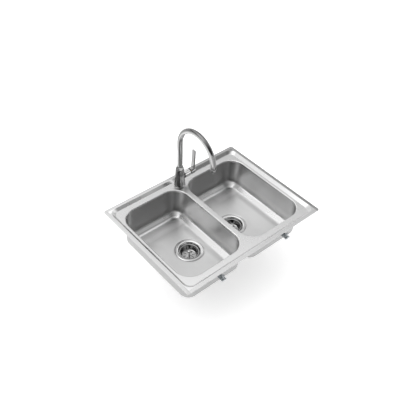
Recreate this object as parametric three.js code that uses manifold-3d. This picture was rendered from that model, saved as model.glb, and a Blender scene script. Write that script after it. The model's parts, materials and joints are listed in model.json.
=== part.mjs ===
// Double bowl kitchen sink with a side lever mixer tap, in millimetres, +Z up.
// The origin is the centre of the worktop cut-out, on the plane of the worktop's top face.
// +X is the user's right, +Y the tap side.
import * as THREE from 'three';
import { mergeVertices } from 'three/addons/utils/BufferGeometryUtils.js';
import Module from 'manifold-3d';

const wasm = await Module();
wasm.setup();

// ---------------------------------------------------------------- driving dimensions
const SINK_LENGTH = 650;
const SINK_WIDTH = 500;
const SHEET = 1.2;
const FIT_GAP = 0.3;

// Rim and its seal
const SEAL_HEIGHT = 1.5;
const SEAL_WIDTH = 7;
const SEAL_INSET = 2.5;
const RIM_CORNER = 9;
const RIM_EDGE_DROP = 1.1;
const RIM_EDGE_ROUND = 0.8;
const RIM_WIDTH = 14;

// Step down from the rim to the deck
const STEP_DEPTH = 10;
const STEP_RUN = 13;
const STEP_CORNER = 32;
const STEP_CORNER_TIGHTENS = 0.6;

// Bowls
const BOWL_SIDE_MARGIN = 37;
const BOWL_END_MARGIN = 50;
const BOWL_DIVIDER = 24;
const BOWL_CORNER = 64;
const BOWL_FLOOR_CORNER = 40;
const BOWL_DEPTH = 132;
const BOWL_DRAFT = 5;
const BOWL_FILLET = 29;
const FOOT_CORNER_MIN = 12;
const LIP_RADIUS = 4;
const LIP_HEIGHT = 9;
const FLOOR_FALL = 2;

// Basket strainer wastes
const WASTE_OFFSET_X = 38;
const WASTE_Y = -2;
const WASTE_HOLE_R = 43.5;
const WASTE_FLANGE_R = 56;
const WASTE_FLANGE_HEIGHT = 3.1;
const WASTE_RECESS_R = 58.5;
const WASTE_RECESS_DEPTH = 2;
const WASTE_THREAD_R = 42.5;
const WASTE_THREAD_LENGTH = 20;
const CUP_MOUTH_R = 41.5;
const CUP_WAIST_R = 36.5;
const CUP_DEPTH = 44;
const CUP_WALL = 2;
const OUTLET_R = 19;
const SPIGOT_R = 22;
const SPIGOT_LENGTH = 16;
const TAIL_LENGTH = 88;
const TAIL_WALL = 1.6;
const TAIL_FLANGE = 2;
const TAIL_WASHER = 2;
const WASTE_GASKET_HEIGHT = 3;
const FIBRE_HEIGHT = 1.2;
const LOCK_NUT_HEIGHT = 12;
const LOCK_NUT_WALL = 6;
const LOCK_NUT_LUGS = 6;
const LOCK_LUG_SIZE = 8;
const SLIP_NUT_SIDES = 10;
const SLIP_NUT_BASE = 3;
const SLIP_NUT_COVER = 10;
const BASKET_RIM_R = 39;
const BASKET_FLOOR_R = 29;
const BASKET_TOP = -6;
const BASKET_FLOOR = -29;
const BASKET_WALL = 1.2;
const BASKET_SLOTS = 8;
const FLOOR_SLOT = [12, 2.6];
const WALL_SLOT = [3.2, 11];
const STOPPER_R = 25;
const STOPPER_HEIGHT = 5;
const POST_R = 3;
const POST_TOP = 1.5;
const KNOB_R = 8.5;

// Mounting rails and worktop clips
const RAIL_FROM_EDGE = 38;
const RAIL_OFFSET_X = 12;
const RAIL_LENGTH = 200;
const RAIL_WIDTH = 14;
const RAIL_HEIGHT = 9;
const RAIL_LIP = 2.5;
const CLIP_OFFSET_X = 10;
const CLIP_LENGTH = 20;
const CLIP_DROP = 34;
const CLIP_REACH = 30;
const CLIP_END = 37;
const CLIP_SHEET = 2.5;
const CLIP_NECK_HALF = 2.4;
const CLIP_HEAD = 2;
const CLIP_HOLE_R = 3;
const SCREW_HEAD_R = 5.5;
const SCREW_HEAD_HEIGHT = 6;
const SCREW_PAD_R = 5;
const WORKTOP_THICKNESS = 30;

// Mixer tap, with heights above the deck
const TAP_STEP_GAP = 2;
const TAP_HOLE_R = 17.5;
const TAP_GASKET_HEIGHT = 1;
const TAP_BASE_R = 23;
const TAP_BASE_TOP = 5;
const TAP_BODY_R = 22;
const TAP_NECK_R = 16.4;
const TAP_BODY_TOP = 84;
const SPOUT_R = 10.4;
const SPOUT_BORE_R = 8.8;
const SPOUT_REACH = 188;
const SPOUT_HEIGHT = 315;
const SPOUT_DROP = 3;
const SPOUT_SEAT = 66;
const SPOUT_SIDES = 12;
const SPOUT_ARC_STEPS = 16;
const COLLAR_HEIGHT = 14;
const GLIDE_HEIGHT = 1.5;
const WATERWAY_R = 6;
const AERATOR_HEIGHT = 12;
const AERATOR_WALL_OUT = 0.5;
const AERATOR_LEDGE = 1.5;
const AERATOR_HOLES = 6;
const AERATOR_HOLE_R = 0.9;
const AERATOR_HOLE_RING_R = 3.4;
const SHANK_R = 16;
const SHANK_BORE_R = 12.5;
const SHANK_SEAT = 14;
const SHANK_DROP = 46;
const SHANK_NUT_R = 21;
const SHANK_NUT_HEIGHT = 10;
const RUBBER_WASHER_HEIGHT = 3;
const STEEL_WASHER_HEIGHT = 1.5;
const INLET_R = 4.6;
const INLET_BORE_R = 3.4;
const INLET_OFFSET = 6;
const INLET_DROP = 16;

// Side barrel, cartridge and lever, with lengths along the barrel from the riser's axis
const BARREL_R = 15.5;
const BARREL_HEIGHT = 46;
const BARREL_END = 46;
const CARTRIDGE_R = 12.2;
const CARTRIDGE_START = 10;
const CARTRIDGE_FLOOR = 22;
const CARTRIDGE_END = 38;
const ROTOR_R = 8;
const ROTOR_END = 41.5;
const NUT_SHOULDER = 42;
const NUT_DOME = 4.4;
const STEM_PIVOT = 38;
const STEM_R = 3.5;
const STEM_END = 64;
const PIN_R = 1.2;
const PIN_HALF = 7.2;
const HUB_START = 51.5;
const HUB_R = 14.5;
const HUB_END = 78;
const HUB_WALL = 1.9;
const HUB_CUP_DEPTH = 5.5;
const GRUB_R = 1.8;
const GRUB_FROM_END = 3.5;
const LEVER_TIP_HEIGHT = 142;
const LEVER_WIDTH = 16;
const LEVER_THICKNESS = 5;
const LEVER_FROM_END = 11;
const LEVER_LEAN = 3;

// Faceting
const CORNER_STEPS = 6;
const ROUND_STEPS = 4 * (CORNER_STEPS + 1);
const MID_ROUND = 20;
const SMALL_ROUND = 12;
const HOLE_ROUND = 6;
const FOOT_STEPS = 4;
const LIP_STEPS = 3;
const PAST = 2;

// Levels, half sizes and places that several pieces share
const HALF_X = SINK_LENGTH / 2;
const HALF_Y = SINK_WIDTH / 2;
const BOWL_HALF_X = (HALF_X - BOWL_SIDE_MARGIN - BOWL_DIVIDER / 2) / 2;
const BOWL_HALF_Y = HALF_Y - BOWL_END_MARGIN;
const BOWL_CENTRE_X = BOWL_DIVIDER / 2 + BOWL_HALF_X;
const TAP_Y = HALF_Y - RIM_WIDTH - STEP_RUN - TAP_STEP_GAP - TAP_BASE_R;
const RAIL_Y = HALF_Y - RAIL_FROM_EDGE;
const RAIL_START = BOWL_CENTRE_X + RAIL_OFFSET_X - RAIL_LENGTH / 2;
const CLIP_X = BOWL_CENTRE_X + CLIP_OFFSET_X;
const RIM_TOP = SEAL_HEIGHT + SHEET;
const RIM_EDGE_LOW = SEAL_HEIGHT - RIM_EDGE_DROP;
const DECK_TOP = RIM_TOP - STEP_DEPTH;
const DECK_UNDER = DECK_TOP - SHEET;
const BOWL_TOP = DECK_TOP - LIP_HEIGHT;
const FLOOR_Z = DECK_TOP - BOWL_DEPTH;
const WASTE_X = BOWL_CENTRE_X - WASTE_OFFSET_X;
const WASTE_Z = FLOOR_Z - FLOOR_FALL - WASTE_RECESS_DEPTH;
const HALF_TURN = Math.PI;
const QUARTER_TURN = Math.PI / 2;

// ---------------------------------------------------------------- materials
const finish = (color, roughness, metalness) =>
  new THREE.MeshStandardMaterial({ color, roughness, metalness });

const brushedSteel = () => finish(0xc9c9c7, 0.38, 1.0);
const polishedSteel = () => finish(0xd6d6d4, 0.16, 1.0);
const chrome = () => finish(0xdcdcde, 0.08, 1.0);
const zincPlate = () => finish(0xa9acae, 0.45, 0.9);
const brass = () => finish(0xb99a55, 0.35, 0.9);
const blackRubber = () => finish(0x1d1d1d, 0.85, 0.0);
const whiteNylon = () => finish(0xe6e6e2, 0.5, 0.0);
const greyNylon = () => finish(0x8b8d8e, 0.5, 0.0);
const fibre = () => finish(0xb39b78, 0.9, 0.0);

// ---------------------------------------------------------------- solids
const sink = new THREE.Group();

function add(parent, name, geometry, material) {
  const mesh = new THREE.Mesh(geometry, material);
  mesh.name = name;
  parent.add(mesh);
  return mesh;
}

function subgroup(parent, x, y, z) {
  const group = new THREE.Group();
  group.position.set(x, y, z);
  parent.add(group);
  return group;
}

// A closed indexed body with shared vertices, no slivers, and faces turned outward.
function closed(geometry) {
  const bare = geometry.clone();
  bare.deleteAttribute('normal');
  bare.deleteAttribute('uv');
  const merged = mergeVertices(bare, 1e-4);
  const position = merged.attributes.position;
  const source = merged.index.array;
  const triangles = [];
  for (let i = 0; i < source.length; i += 3) {
    const [a, b, c] = [source[i], source[i + 1], source[i + 2]];
    if (a !== b && b !== c && c !== a) triangles.push(a, b, c);
  }
  const [p, q, r] = [new THREE.Vector3(), new THREE.Vector3(), new THREE.Vector3()];
  let volume = 0;
  for (let i = 0; i < triangles.length; i += 3) {
    p.fromBufferAttribute(position, triangles[i]);
    q.fromBufferAttribute(position, triangles[i + 1]);
    r.fromBufferAttribute(position, triangles[i + 2]);
    volume += p.dot(q.cross(r));
  }
  if (volume < 0) triangles.reverse();
  merged.setIndex(triangles);
  return merged;
}

function toSolid(geometry) {
  const body = closed(geometry);
  const mesh = new wasm.Mesh({
    numProp: 3,
    vertProperties: new Float32Array(body.attributes.position.array),
    triVerts: new Uint32Array(body.index.array),
  });
  return new wasm.Manifold(mesh);
}

function toGeometry(solid) {
  const mesh = solid.getMesh();
  const geometry = new THREE.BufferGeometry();
  const points = new THREE.BufferAttribute(new Float32Array(mesh.vertProperties), 3);
  geometry.setAttribute('position', points);
  geometry.setIndex(new THREE.BufferAttribute(new Uint32Array(mesh.triVerts), 1));
  return geometry;
}

function combine(joined, removed = []) {
  let solid = toSolid(joined[0]);
  for (const piece of joined.slice(1)) solid = solid.add(toSolid(piece));
  for (const piece of removed) solid = solid.subtract(toSolid(piece));
  return toGeometry(solid);
}

// Rings of equal point counts joined in order. A capped loft is closed by a fan at each end, an
// uncapped one runs from its last ring back to its first.
function loft(rings, capped = true) {
  const count = rings[0].length;
  const points = rings.flat();
  const triangles = [];
  const spans = capped ? rings.length - 1 : rings.length;
  for (let s = 0; s < spans; s += 1) {
    const low = s * count;
    const high = ((s + 1) % rings.length) * count;
    for (let i = 0; i < count; i += 1) {
      const j = (i + 1) % count;
      triangles.push(low + i, low + j, high + j, low + i, high + j, high + i);
    }
  }
  if (capped) {
    for (const [ring, flip] of [[0, true], [rings.length - 1, false]]) {
      const centre = points.length;
      const middle = new THREE.Vector3();
      for (const point of rings[ring]) middle.addScaledVector(point, 1 / count);
      points.push(middle);
      for (let i = 0; i < count; i += 1) {
        const a = ring * count + i;
        const b = ring * count + ((i + 1) % count);
        triangles.push(...(flip ? [centre, b, a] : [centre, a, b]));
      }
    }
  }
  const geometry = new THREE.BufferGeometry().setFromPoints(points);
  geometry.setIndex(triangles);
  return closed(geometry);
}

// A rounded rectangle with the same number of points on each corner, at height z.
function roundedRing(halfX, halfY, corner, z, centreX = 0, steps = CORNER_STEPS) {
  const ring = [];
  for (let quarter = 0; quarter < 4; quarter += 1) {
    const sideX = quarter === 0 || quarter === 3 ? 1 : -1;
    const sideY = quarter < 2 ? 1 : -1;
    for (let i = 0; i <= steps; i += 1) {
      const angle = (quarter + i / steps) * QUARTER_TURN;
      ring.push(new THREE.Vector3(
        centreX + sideX * (halfX - corner) + corner * Math.cos(angle),
        sideY * (halfY - corner) + corner * Math.sin(angle),
        z,
      ));
    }
  }
  return ring;
}

// A circle with as many points as a rounded rectangle, each beside its own.
function circleRing(radius, z, centreX, centreY) {
  return Array.from({ length: ROUND_STEPS }, (_, i) => {
    const angle = (i + 0.5) / ROUND_STEPS * 2 * HALF_TURN;
    return new THREE.Vector3(
      centreX + radius * Math.cos(angle),
      centreY + radius * Math.sin(angle),
      z,
    );
  });
}

// Steps round a quarter circle that starts level with its first side, as [inset, drop] pairs.
function quarterSteps(radius, steps) {
  return Array.from({ length: steps + 1 }, (_, i) => {
    const angle = i / steps * QUARTER_TURN;
    return [radius * Math.sin(angle), radius * (1 - Math.cos(angle))];
  });
}

// A profile of [radius, height] pairs turned about Z. It starts and ends on the axis, or closes on
// itself.
function turned(profile, segments = SMALL_ROUND) {
  const points = profile.map(([radius, height]) => new THREE.Vector2(radius, height));
  const onAxis = profile[0][0] === 0 && profile[profile.length - 1][0] === 0;
  if (!onAxis) points.push(points[0].clone());
  return closed(new THREE.LatheGeometry(points, segments).rotateX(QUARTER_TURN));
}

const alongX = (geometry) => closed(geometry.clone().rotateY(QUARTER_TURN));

const washer = (inner, outer, low, high, segments = SMALL_ROUND) =>
  turned([[inner, low], [outer, low], [outer, high], [inner, high]], segments);

const rod = (radius, low, high, segments = SMALL_ROUND) =>
  turned([[0, low], [radius, low], [radius, high], [0, high]], segments);

const block = (sizeX, sizeY, sizeZ, x, y, z) =>
  closed(new THREE.BoxGeometry(sizeX, sizeY, sizeZ).translate(x, y, z));

// A nut: a prism with a round bore.
const nut = (sides, outer, bore, low, high) =>
  combine([rod(outer, low, high, sides)], [rod(bore, low - PAST, high + PAST, ROUND_STEPS)]);

// A bar of one section, given as [y, z] pairs, that runs along X from 0 to its length.
function bar(section, length) {
  const shape = new THREE.Shape(section.map(([y, z]) => new THREE.Vector2(y, z)));
  const solid = new THREE.ExtrudeGeometry(shape, { depth: length, bevelEnabled: false });
  return closed(solid.rotateX(QUARTER_TURN).rotateZ(QUARTER_TURN));
}

// ---------------------------------------------------------------- deck, bowls and rim seal
const bowlSides = [['left', -1], ['right', 1]];

// The bowl's outline at the deck, set outward by an amount.
const bowlOutline = (side, outward, z) => roundedRing(
  BOWL_HALF_X + outward,
  BOWL_HALF_Y + outward,
  BOWL_CORNER + outward,
  z,
  side * BOWL_CENTRE_X,
);

// The rim's outline, set inward by an amount with its corner kept.
const rimOutline = (inset, z, corner = RIM_CORNER) =>
  roundedRing(HALF_X - inset, HALF_Y - inset, corner, z);

// The step from rim to deck: a rounded top edge, a slope and a rounded foot, as [inset, height].
const stepProfile = [
  [0, RIM_TOP + 1],
  [0, RIM_TOP],
  [1.2, RIM_TOP - 0.5],
  [2.2, RIM_TOP - 1.4],
  [STEP_RUN - 3, DECK_TOP + 1.6],
  [STEP_RUN - 1.5, DECK_TOP + 0.5],
  [STEP_RUN, DECK_TOP],
];
const STEP_SLOPE_FROM = 3;

const stepOutline = (inset, height, outward) => roundedRing(
  HALF_X - RIM_WIDTH - inset + outward,
  HALF_Y - RIM_WIDTH - inset + outward,
  STEP_CORNER - inset * STEP_CORNER_TIGHTENS + outward,
  height,
);

// The rim and the space above and below the stepped sheet, joined into one tray.
function trayGeometry() {
  const edge = RIM_EDGE_ROUND;
  const plate = loft([
    rimOutline(0, RIM_EDGE_LOW),
    rimOutline(0, RIM_TOP - edge),
    rimOutline(edge * 0.3, RIM_TOP - edge * 0.3),
    rimOutline(edge, RIM_TOP),
  ]);
  const basin = loft(stepProfile.map(([inset, height]) => stepOutline(inset, height, 0)));
  const pan = loft([
    stepOutline(0, SEAL_HEIGHT + SHEET / 2, SHEET),
    ...stepProfile.slice(STEP_SLOPE_FROM)
      .map(([inset, height]) => stepOutline(inset, height - SHEET / 2, SHEET)),
    stepOutline(STEP_RUN, DECK_UNDER, SHEET * 0.4),
  ]);
  const underRim = combine(
    [loft([
      rimOutline(SHEET, RIM_EDGE_LOW - PAST, RIM_CORNER - SHEET),
      rimOutline(SHEET, SEAL_HEIGHT, RIM_CORNER - SHEET),
    ])],
    [loft([
      stepOutline(0, RIM_EDGE_LOW - 2 * PAST, SHEET),
      stepOutline(0, SEAL_HEIGHT + PAST, SHEET),
    ])],
  );
  return combine([plate, pan], [basin, underRim]);
}

// Each bowl's opening has a rounded lip, thickened to a solid bead under its edge.
function deckGeometry() {
  const joined = [trayGeometry()];
  const removed = [];
  for (const [, side] of bowlSides) {
    joined.push(
      loft([bowlOutline(side, SHEET, DECK_UNDER + SHEET / 2), bowlOutline(side, SHEET, BOWL_TOP)]),
      loft([
        bowlOutline(side, LIP_RADIUS + SHEET, DECK_UNDER + SHEET / 2),
        bowlOutline(side, SHEET, DECK_TOP - LIP_RADIUS - SHEET),
      ]),
    );
    removed.push(loft([
      bowlOutline(side, LIP_RADIUS, DECK_TOP + PAST),
      ...quarterSteps(LIP_RADIUS, LIP_STEPS)
        .map(([inset, drop]) => bowlOutline(side, LIP_RADIUS - inset, DECK_TOP - drop)),
      bowlOutline(side, 0, BOWL_TOP - PAST),
    ]));
  }
  removed.push(rod(TAP_HOLE_R, DECK_UNDER - PAST, DECK_TOP + PAST, ROUND_STEPS)
    .translate(0, TAP_Y, 0));
  return combine(joined, removed);
}

// One pressed bowl: a wall with wide corners at the top that tighten towards the floor, a rounded
// foot, and a floor that falls to a round recess with the waste hole.
function bowlRings(side, outward) {
  const footTop = FLOOR_Z + BOWL_FILLET;
  const footScale = (BOWL_FILLET + outward) / BOWL_FILLET;
  const ring = (inset, corner, z) => roundedRing(
    BOWL_HALF_X - inset + outward,
    BOWL_HALF_Y - inset + outward,
    corner + outward,
    z,
    side * BOWL_CENTRE_X,
  );
  const wasteRing = (radius, z) => circleRing(radius, z - outward, side * WASTE_X, WASTE_Y);
  const foot = quarterSteps(BOWL_FILLET, FOOT_STEPS).slice(1).map(([drop, inset]) => ring(
    BOWL_DRAFT + inset * footScale,
    Math.max(BOWL_FLOOR_CORNER - inset, FOOT_CORNER_MIN),
    footTop - drop * footScale,
  ));
  return [
    ring(0, BOWL_CORNER, BOWL_TOP),
    ring(BOWL_DRAFT, BOWL_FLOOR_CORNER, footTop),
    ...foot,
    wasteRing(WASTE_RECESS_R + 3 + outward / 2, FLOOR_Z - FLOOR_FALL),
    wasteRing(WASTE_RECESS_R + outward, FLOOR_Z - FLOOR_FALL - 0.5),
    wasteRing(WASTE_RECESS_R - 1.5 + outward, WASTE_Z),
    wasteRing(WASTE_HOLE_R, WASTE_Z),
  ];
}

const bowlGeometry = (side) =>
  loft([...bowlRings(side, 0), ...bowlRings(side, SHEET).reverse()], false);

function rimSealGeometry() {
  const corner = RIM_CORNER - SEAL_INSET;
  const ring = (inset, z) => rimOutline(SEAL_INSET + inset, z, corner + inset * 0.8);
  return loft([
    ring(0, 0),
    ring(0, SEAL_HEIGHT),
    ring(SEAL_WIDTH, SEAL_HEIGHT),
    ring(SEAL_WIDTH, 0),
  ], false);
}

add(sink, 'sink_deck', deckGeometry(), brushedSteel());
for (const [label, side] of bowlSides) {
  add(sink, `${label}_bowl`, bowlGeometry(side), brushedSteel());
}
add(sink, 'rim_seal', rimSealGeometry(), blackRubber());

// ---------------------------------------------------------------- basket strainer wastes
// Heights here are from the seat of the waste flange in the bowl's floor.
const NECK_END = -WASTE_THREAD_LENGTH;
const CUP_FLOOR = -CUP_DEPTH;
const SPIGOT_END = CUP_FLOOR - SPIGOT_LENGTH;
const GASKET_LOW = -SHEET - WASTE_GASKET_HEIGHT;
const FIBRE_LOW = GASKET_LOW - FIBRE_HEIGHT;
const TAIL_WASHER_LOW = SPIGOT_END - TAIL_WASHER;
const TAIL_FLANGE_LOW = TAIL_WASHER_LOW - TAIL_FLANGE;
const TAIL_END = TAIL_WASHER_LOW - TAIL_LENGTH;
const TAIL_BORE_R = OUTLET_R - TAIL_WALL;

// The flange with its threaded neck, and the cup that is joined to the neck's end.
const strainerFlange = () => turned([
  [WASTE_FLANGE_R, 0],
  [WASTE_FLANGE_R, 1.4],
  [WASTE_FLANGE_R - 3, WASTE_FLANGE_HEIGHT],
  [CUP_MOUTH_R + 6, WASTE_FLANGE_HEIGHT],
  [CUP_MOUTH_R + 2, 1.8],
  [CUP_MOUTH_R - 1, -4],
  [CUP_MOUTH_R - 2, NECK_END],
  [WASTE_THREAD_R, NECK_END],
  [WASTE_THREAD_R, 0],
], MID_ROUND);

const strainerCup = () => turned([
  [CUP_MOUTH_R - 2, NECK_END],
  [CUP_WAIST_R, NECK_END - 3],
  [CUP_WAIST_R - 1, CUP_FLOOR + 4],
  [CUP_WAIST_R - 4, CUP_FLOOR],
  [OUTLET_R, CUP_FLOOR],
  [OUTLET_R, SPIGOT_END],
  [SPIGOT_R, SPIGOT_END],
  [SPIGOT_R, CUP_FLOOR - CUP_WALL],
  [CUP_WAIST_R - 3.2, CUP_FLOOR - CUP_WALL],
  [CUP_WAIST_R + CUP_WALL - 1, CUP_FLOOR + 3],
  [CUP_WAIST_R + CUP_WALL, NECK_END - 4],
  [WASTE_THREAD_R, NECK_END],
], MID_ROUND);

// The lift-out basket: slotted cone wall and slotted floor round a centre hole for the post.
function basketGeometry() {
  const shell = turned([
    [BASKET_RIM_R, BASKET_TOP],
    [BASKET_RIM_R, BASKET_TOP + BASKET_WALL],
    [BASKET_RIM_R - 3, BASKET_TOP + BASKET_WALL],
    [BASKET_RIM_R - 4.5, BASKET_TOP - 1],
    [BASKET_FLOOR_R, BASKET_FLOOR + BASKET_WALL + 2],
    [BASKET_FLOOR_R - 3, BASKET_FLOOR + BASKET_WALL],
    [POST_R + FIT_GAP, BASKET_FLOOR + BASKET_WALL],
    [POST_R + FIT_GAP, BASKET_FLOOR],
    [BASKET_FLOOR_R - 2, BASKET_FLOOR],
    [BASKET_FLOOR_R + 1.3, BASKET_FLOOR + 2.4],
    [BASKET_RIM_R - 3.2, BASKET_TOP - BASKET_WALL],
  ], MID_ROUND);
  const middle = (BASKET_TOP + BASKET_FLOOR) / 2 + 0.5;
  const slots = Array.from({ length: BASKET_SLOTS }, (_, i) => {
    const turn = (i + 0.5) / BASKET_SLOTS * 2 * HALF_TURN;
    const inFloor = block(...FLOOR_SLOT, 8, 18, 0, BASKET_FLOOR);
    const inWall = block(16, ...WALL_SLOT, BASKET_FLOOR_R + 3.5, 0, middle);
    return [inFloor.rotateZ(turn), inWall.rotateZ(turn)];
  });
  return combine([shell], slots.flat());
}

// The post carries the basket on a collar and the stopper at its foot, and ends in a knob.
const basketPost = () => turned([
  [0, CUP_FLOOR + 1],
  [POST_R, CUP_FLOOR + 1],
  [POST_R, BASKET_FLOOR - 2],
  [POST_R + 3, BASKET_FLOOR - 2],
  [POST_R + 3, BASKET_FLOOR],
  [POST_R, BASKET_FLOOR],
  [POST_R, POST_TOP - 12],
  [POST_R + 1, POST_TOP - 8],
  [KNOB_R - 1, POST_TOP - 6],
  [KNOB_R, POST_TOP - 4],
  [KNOB_R - 0.8, POST_TOP - 1.5],
  [KNOB_R - 3.5, POST_TOP - 0.3],
  [0, POST_TOP],
]);

// The rubber stopper seals on the cup floor and dips a little into the outlet.
const basketStopper = () => turned([
  [0, CUP_FLOOR - 5],
  [OUTLET_R - 4, CUP_FLOOR - 5],
  [OUTLET_R - 1.5, CUP_FLOOR],
  [STOPPER_R, CUP_FLOOR],
  [STOPPER_R, CUP_FLOOR + 2],
  [STOPPER_R - 3, CUP_FLOOR + STOPPER_HEIGHT],
  [POST_R + FIT_GAP, CUP_FLOOR + STOPPER_HEIGHT],
  [POST_R + FIT_GAP, CUP_FLOOR + 1],
  [0, CUP_FLOOR + 1],
]);

function lockNut() {
  const bore = WASTE_THREAD_R + FIT_GAP;
  const low = FIBRE_LOW - LOCK_NUT_HEIGHT;
  const lugHeight = LOCK_NUT_HEIGHT - 3;
  const ring = washer(bore, WASTE_THREAD_R + LOCK_NUT_WALL, low, FIBRE_LOW, MID_ROUND);
  const lugs = Array.from({ length: LOCK_NUT_LUGS }, (_, i) =>
    block(LOCK_LUG_SIZE - 1, LOCK_LUG_SIZE, lugHeight, WASTE_THREAD_R + 8, 0, low + lugHeight / 2)
      .rotateZ(i / LOCK_NUT_LUGS * 2 * HALF_TURN));
  return combine([ring, ...lugs]);
}

function slipNut() {
  const outer = SPIGOT_R + 6;
  const low = TAIL_FLANGE_LOW - SLIP_NUT_BASE;
  const high = SPIGOT_END + SLIP_NUT_COVER;
  return combine([
    nut(SLIP_NUT_SIDES, outer, SPIGOT_R + FIT_GAP, TAIL_FLANGE_LOW, high),
    nut(SLIP_NUT_SIDES, outer, OUTLET_R + FIT_GAP, low, TAIL_FLANGE_LOW),
  ]);
}

const tailpiece = () => turned([
  [TAIL_BORE_R, TAIL_END],
  [OUTLET_R, TAIL_END],
  [OUTLET_R, TAIL_FLANGE_LOW],
  [SPIGOT_R, TAIL_FLANGE_LOW],
  [SPIGOT_R, TAIL_WASHER_LOW],
  [TAIL_BORE_R, TAIL_WASHER_LOW],
], MID_ROUND);

const wasteGasket = () =>
  washer(WASTE_THREAD_R + FIT_GAP, WASTE_FLANGE_R - 2, GASKET_LOW, -SHEET, MID_ROUND);
const fibreWasher = () =>
  washer(WASTE_THREAD_R + FIT_GAP, WASTE_FLANGE_R - 3, FIBRE_LOW, GASKET_LOW, MID_ROUND);
const tailWasher = () =>
  washer(TAIL_BORE_R, SPIGOT_R, TAIL_WASHER_LOW, SPIGOT_END, MID_ROUND);

for (const [label, side] of bowlSides) {
  const waste = subgroup(sink, side * WASTE_X, WASTE_Y, WASTE_Z);
  add(waste, `${label}_strainer_flange`, strainerFlange(), polishedSteel());
  add(waste, `${label}_strainer_cup`, strainerCup(), polishedSteel());
  add(waste, `${label}_basket`, basketGeometry(), polishedSteel());
  add(waste, `${label}_basket_post`, basketPost(), chrome());
  add(waste, `${label}_basket_stopper`, basketStopper(), blackRubber());
  add(waste, `${label}_waste_gasket`, wasteGasket(), blackRubber());
  add(waste, `${label}_fibre_washer`, fibreWasher(), fibre());
  add(waste, `${label}_lock_nut`, lockNut(), greyNylon());
  add(waste, `${label}_tail_washer`, tailWasher(), whiteNylon());
  add(waste, `${label}_tailpiece`, tailpiece(), chrome());
  add(waste, `${label}_slip_nut`, slipNut(), chrome());
}

// ---------------------------------------------------------------- mounting rails, clips and screws
// Heights here are from the deck's underside.
const CLIP_HEAD_LOW = -RAIL_HEIGHT + SHEET;
const CLIP_ARM_LOW = CLIP_HEAD_LOW - CLIP_DROP;

// A C section, open downward between its two lips.
function railGeometry() {
  const half = RAIL_WIDTH / 2;
  const inner = half - SHEET;
  const lipEnd = inner - RAIL_LIP;
  const lipTop = -RAIL_HEIGHT + SHEET;
  return bar([
    [-half, 0],
    [-half, -RAIL_HEIGHT],
    [-lipEnd, -RAIL_HEIGHT],
    [-lipEnd, lipTop],
    [-inner, lipTop],
    [-inner, -SHEET],
    [inner, -SHEET],
    [inner, lipTop],
    [lipEnd, lipTop],
    [lipEnd, -RAIL_HEIGHT],
    [half, -RAIL_HEIGHT],
    [half, 0],
  ], RAIL_LENGTH);
}

// The clip's T head hangs on the rail's lips, and its arm reaches out under the worktop.
function clipGeometry() {
  const headHalf = RAIL_WIDTH / 2 - SHEET - FIT_GAP;
  const headTop = CLIP_HEAD_LOW + CLIP_HEAD;
  const armTop = CLIP_ARM_LOW + CLIP_SHEET;
  const tip = CLIP_END - 1.5;
  const strip = bar([
    [-headHalf, CLIP_HEAD_LOW],
    [-CLIP_NECK_HALF, CLIP_HEAD_LOW],
    [-CLIP_NECK_HALF, CLIP_ARM_LOW],
    [CLIP_END, CLIP_ARM_LOW],
    [CLIP_END, armTop + 2],
    [tip, armTop + 2],
    [tip, armTop],
    [CLIP_NECK_HALF, armTop],
    [CLIP_NECK_HALF, CLIP_HEAD_LOW],
    [headHalf, CLIP_HEAD_LOW],
    [headHalf, headTop],
    [-headHalf, headTop],
  ], CLIP_LENGTH).translate(-CLIP_LENGTH / 2, 0, 0);
  const hole = rod(CLIP_HOLE_R, CLIP_ARM_LOW - PAST, armTop + PAST).translate(0, CLIP_REACH, 0);
  return combine([strip], [hole]);
}

// The screw's head bears on the arm from below, and its pad presses on the worktop's underside.
function clipScrew() {
  const shaft = CLIP_HOLE_R - FIT_GAP;
  const padTop = -WORKTOP_THICKNESS - DECK_UNDER;
  return turned([
    [0, CLIP_ARM_LOW - SCREW_HEAD_HEIGHT],
    [SCREW_HEAD_R, CLIP_ARM_LOW - SCREW_HEAD_HEIGHT],
    [SCREW_HEAD_R, CLIP_ARM_LOW],
    [shaft, CLIP_ARM_LOW],
    [shaft, padTop - 2],
    [SCREW_PAD_R, padTop - 1.5],
    [SCREW_PAD_R, padTop],
    [0, padTop],
  ]);
}

for (const [across, sideX] of bowlSides) {
  for (const [along, sideY] of [['front', -1], ['back', 1]]) {
    const label = `${along}_${across}`;
    const fixing = subgroup(sink, 0, sideY * RAIL_Y, DECK_UNDER);
    const rail = add(fixing, `${label}_rail`, railGeometry(), zincPlate());
    rail.position.x = sideX > 0 ? RAIL_START : -RAIL_START - RAIL_LENGTH;
    const clamp = subgroup(fixing, sideX * CLIP_X, 0, 0);
    clamp.rotation.z = sideY > 0 ? 0 : HALF_TURN;
    add(clamp, `${label}_clip`, clipGeometry(), zincPlate());
    add(clamp, `${label}_clip_screw`, clipScrew(), zincPlate()).position.y = CLIP_REACH;
  }
}

// ---------------------------------------------------------------- mixer tap
const tap = subgroup(sink, 0, TAP_Y, DECK_TOP);
const SPOUT_BEND = SPOUT_REACH / 2;
const SPOUT_BEND_HEIGHT = SPOUT_HEIGHT - SPOUT_R - SPOUT_BEND;

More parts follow.
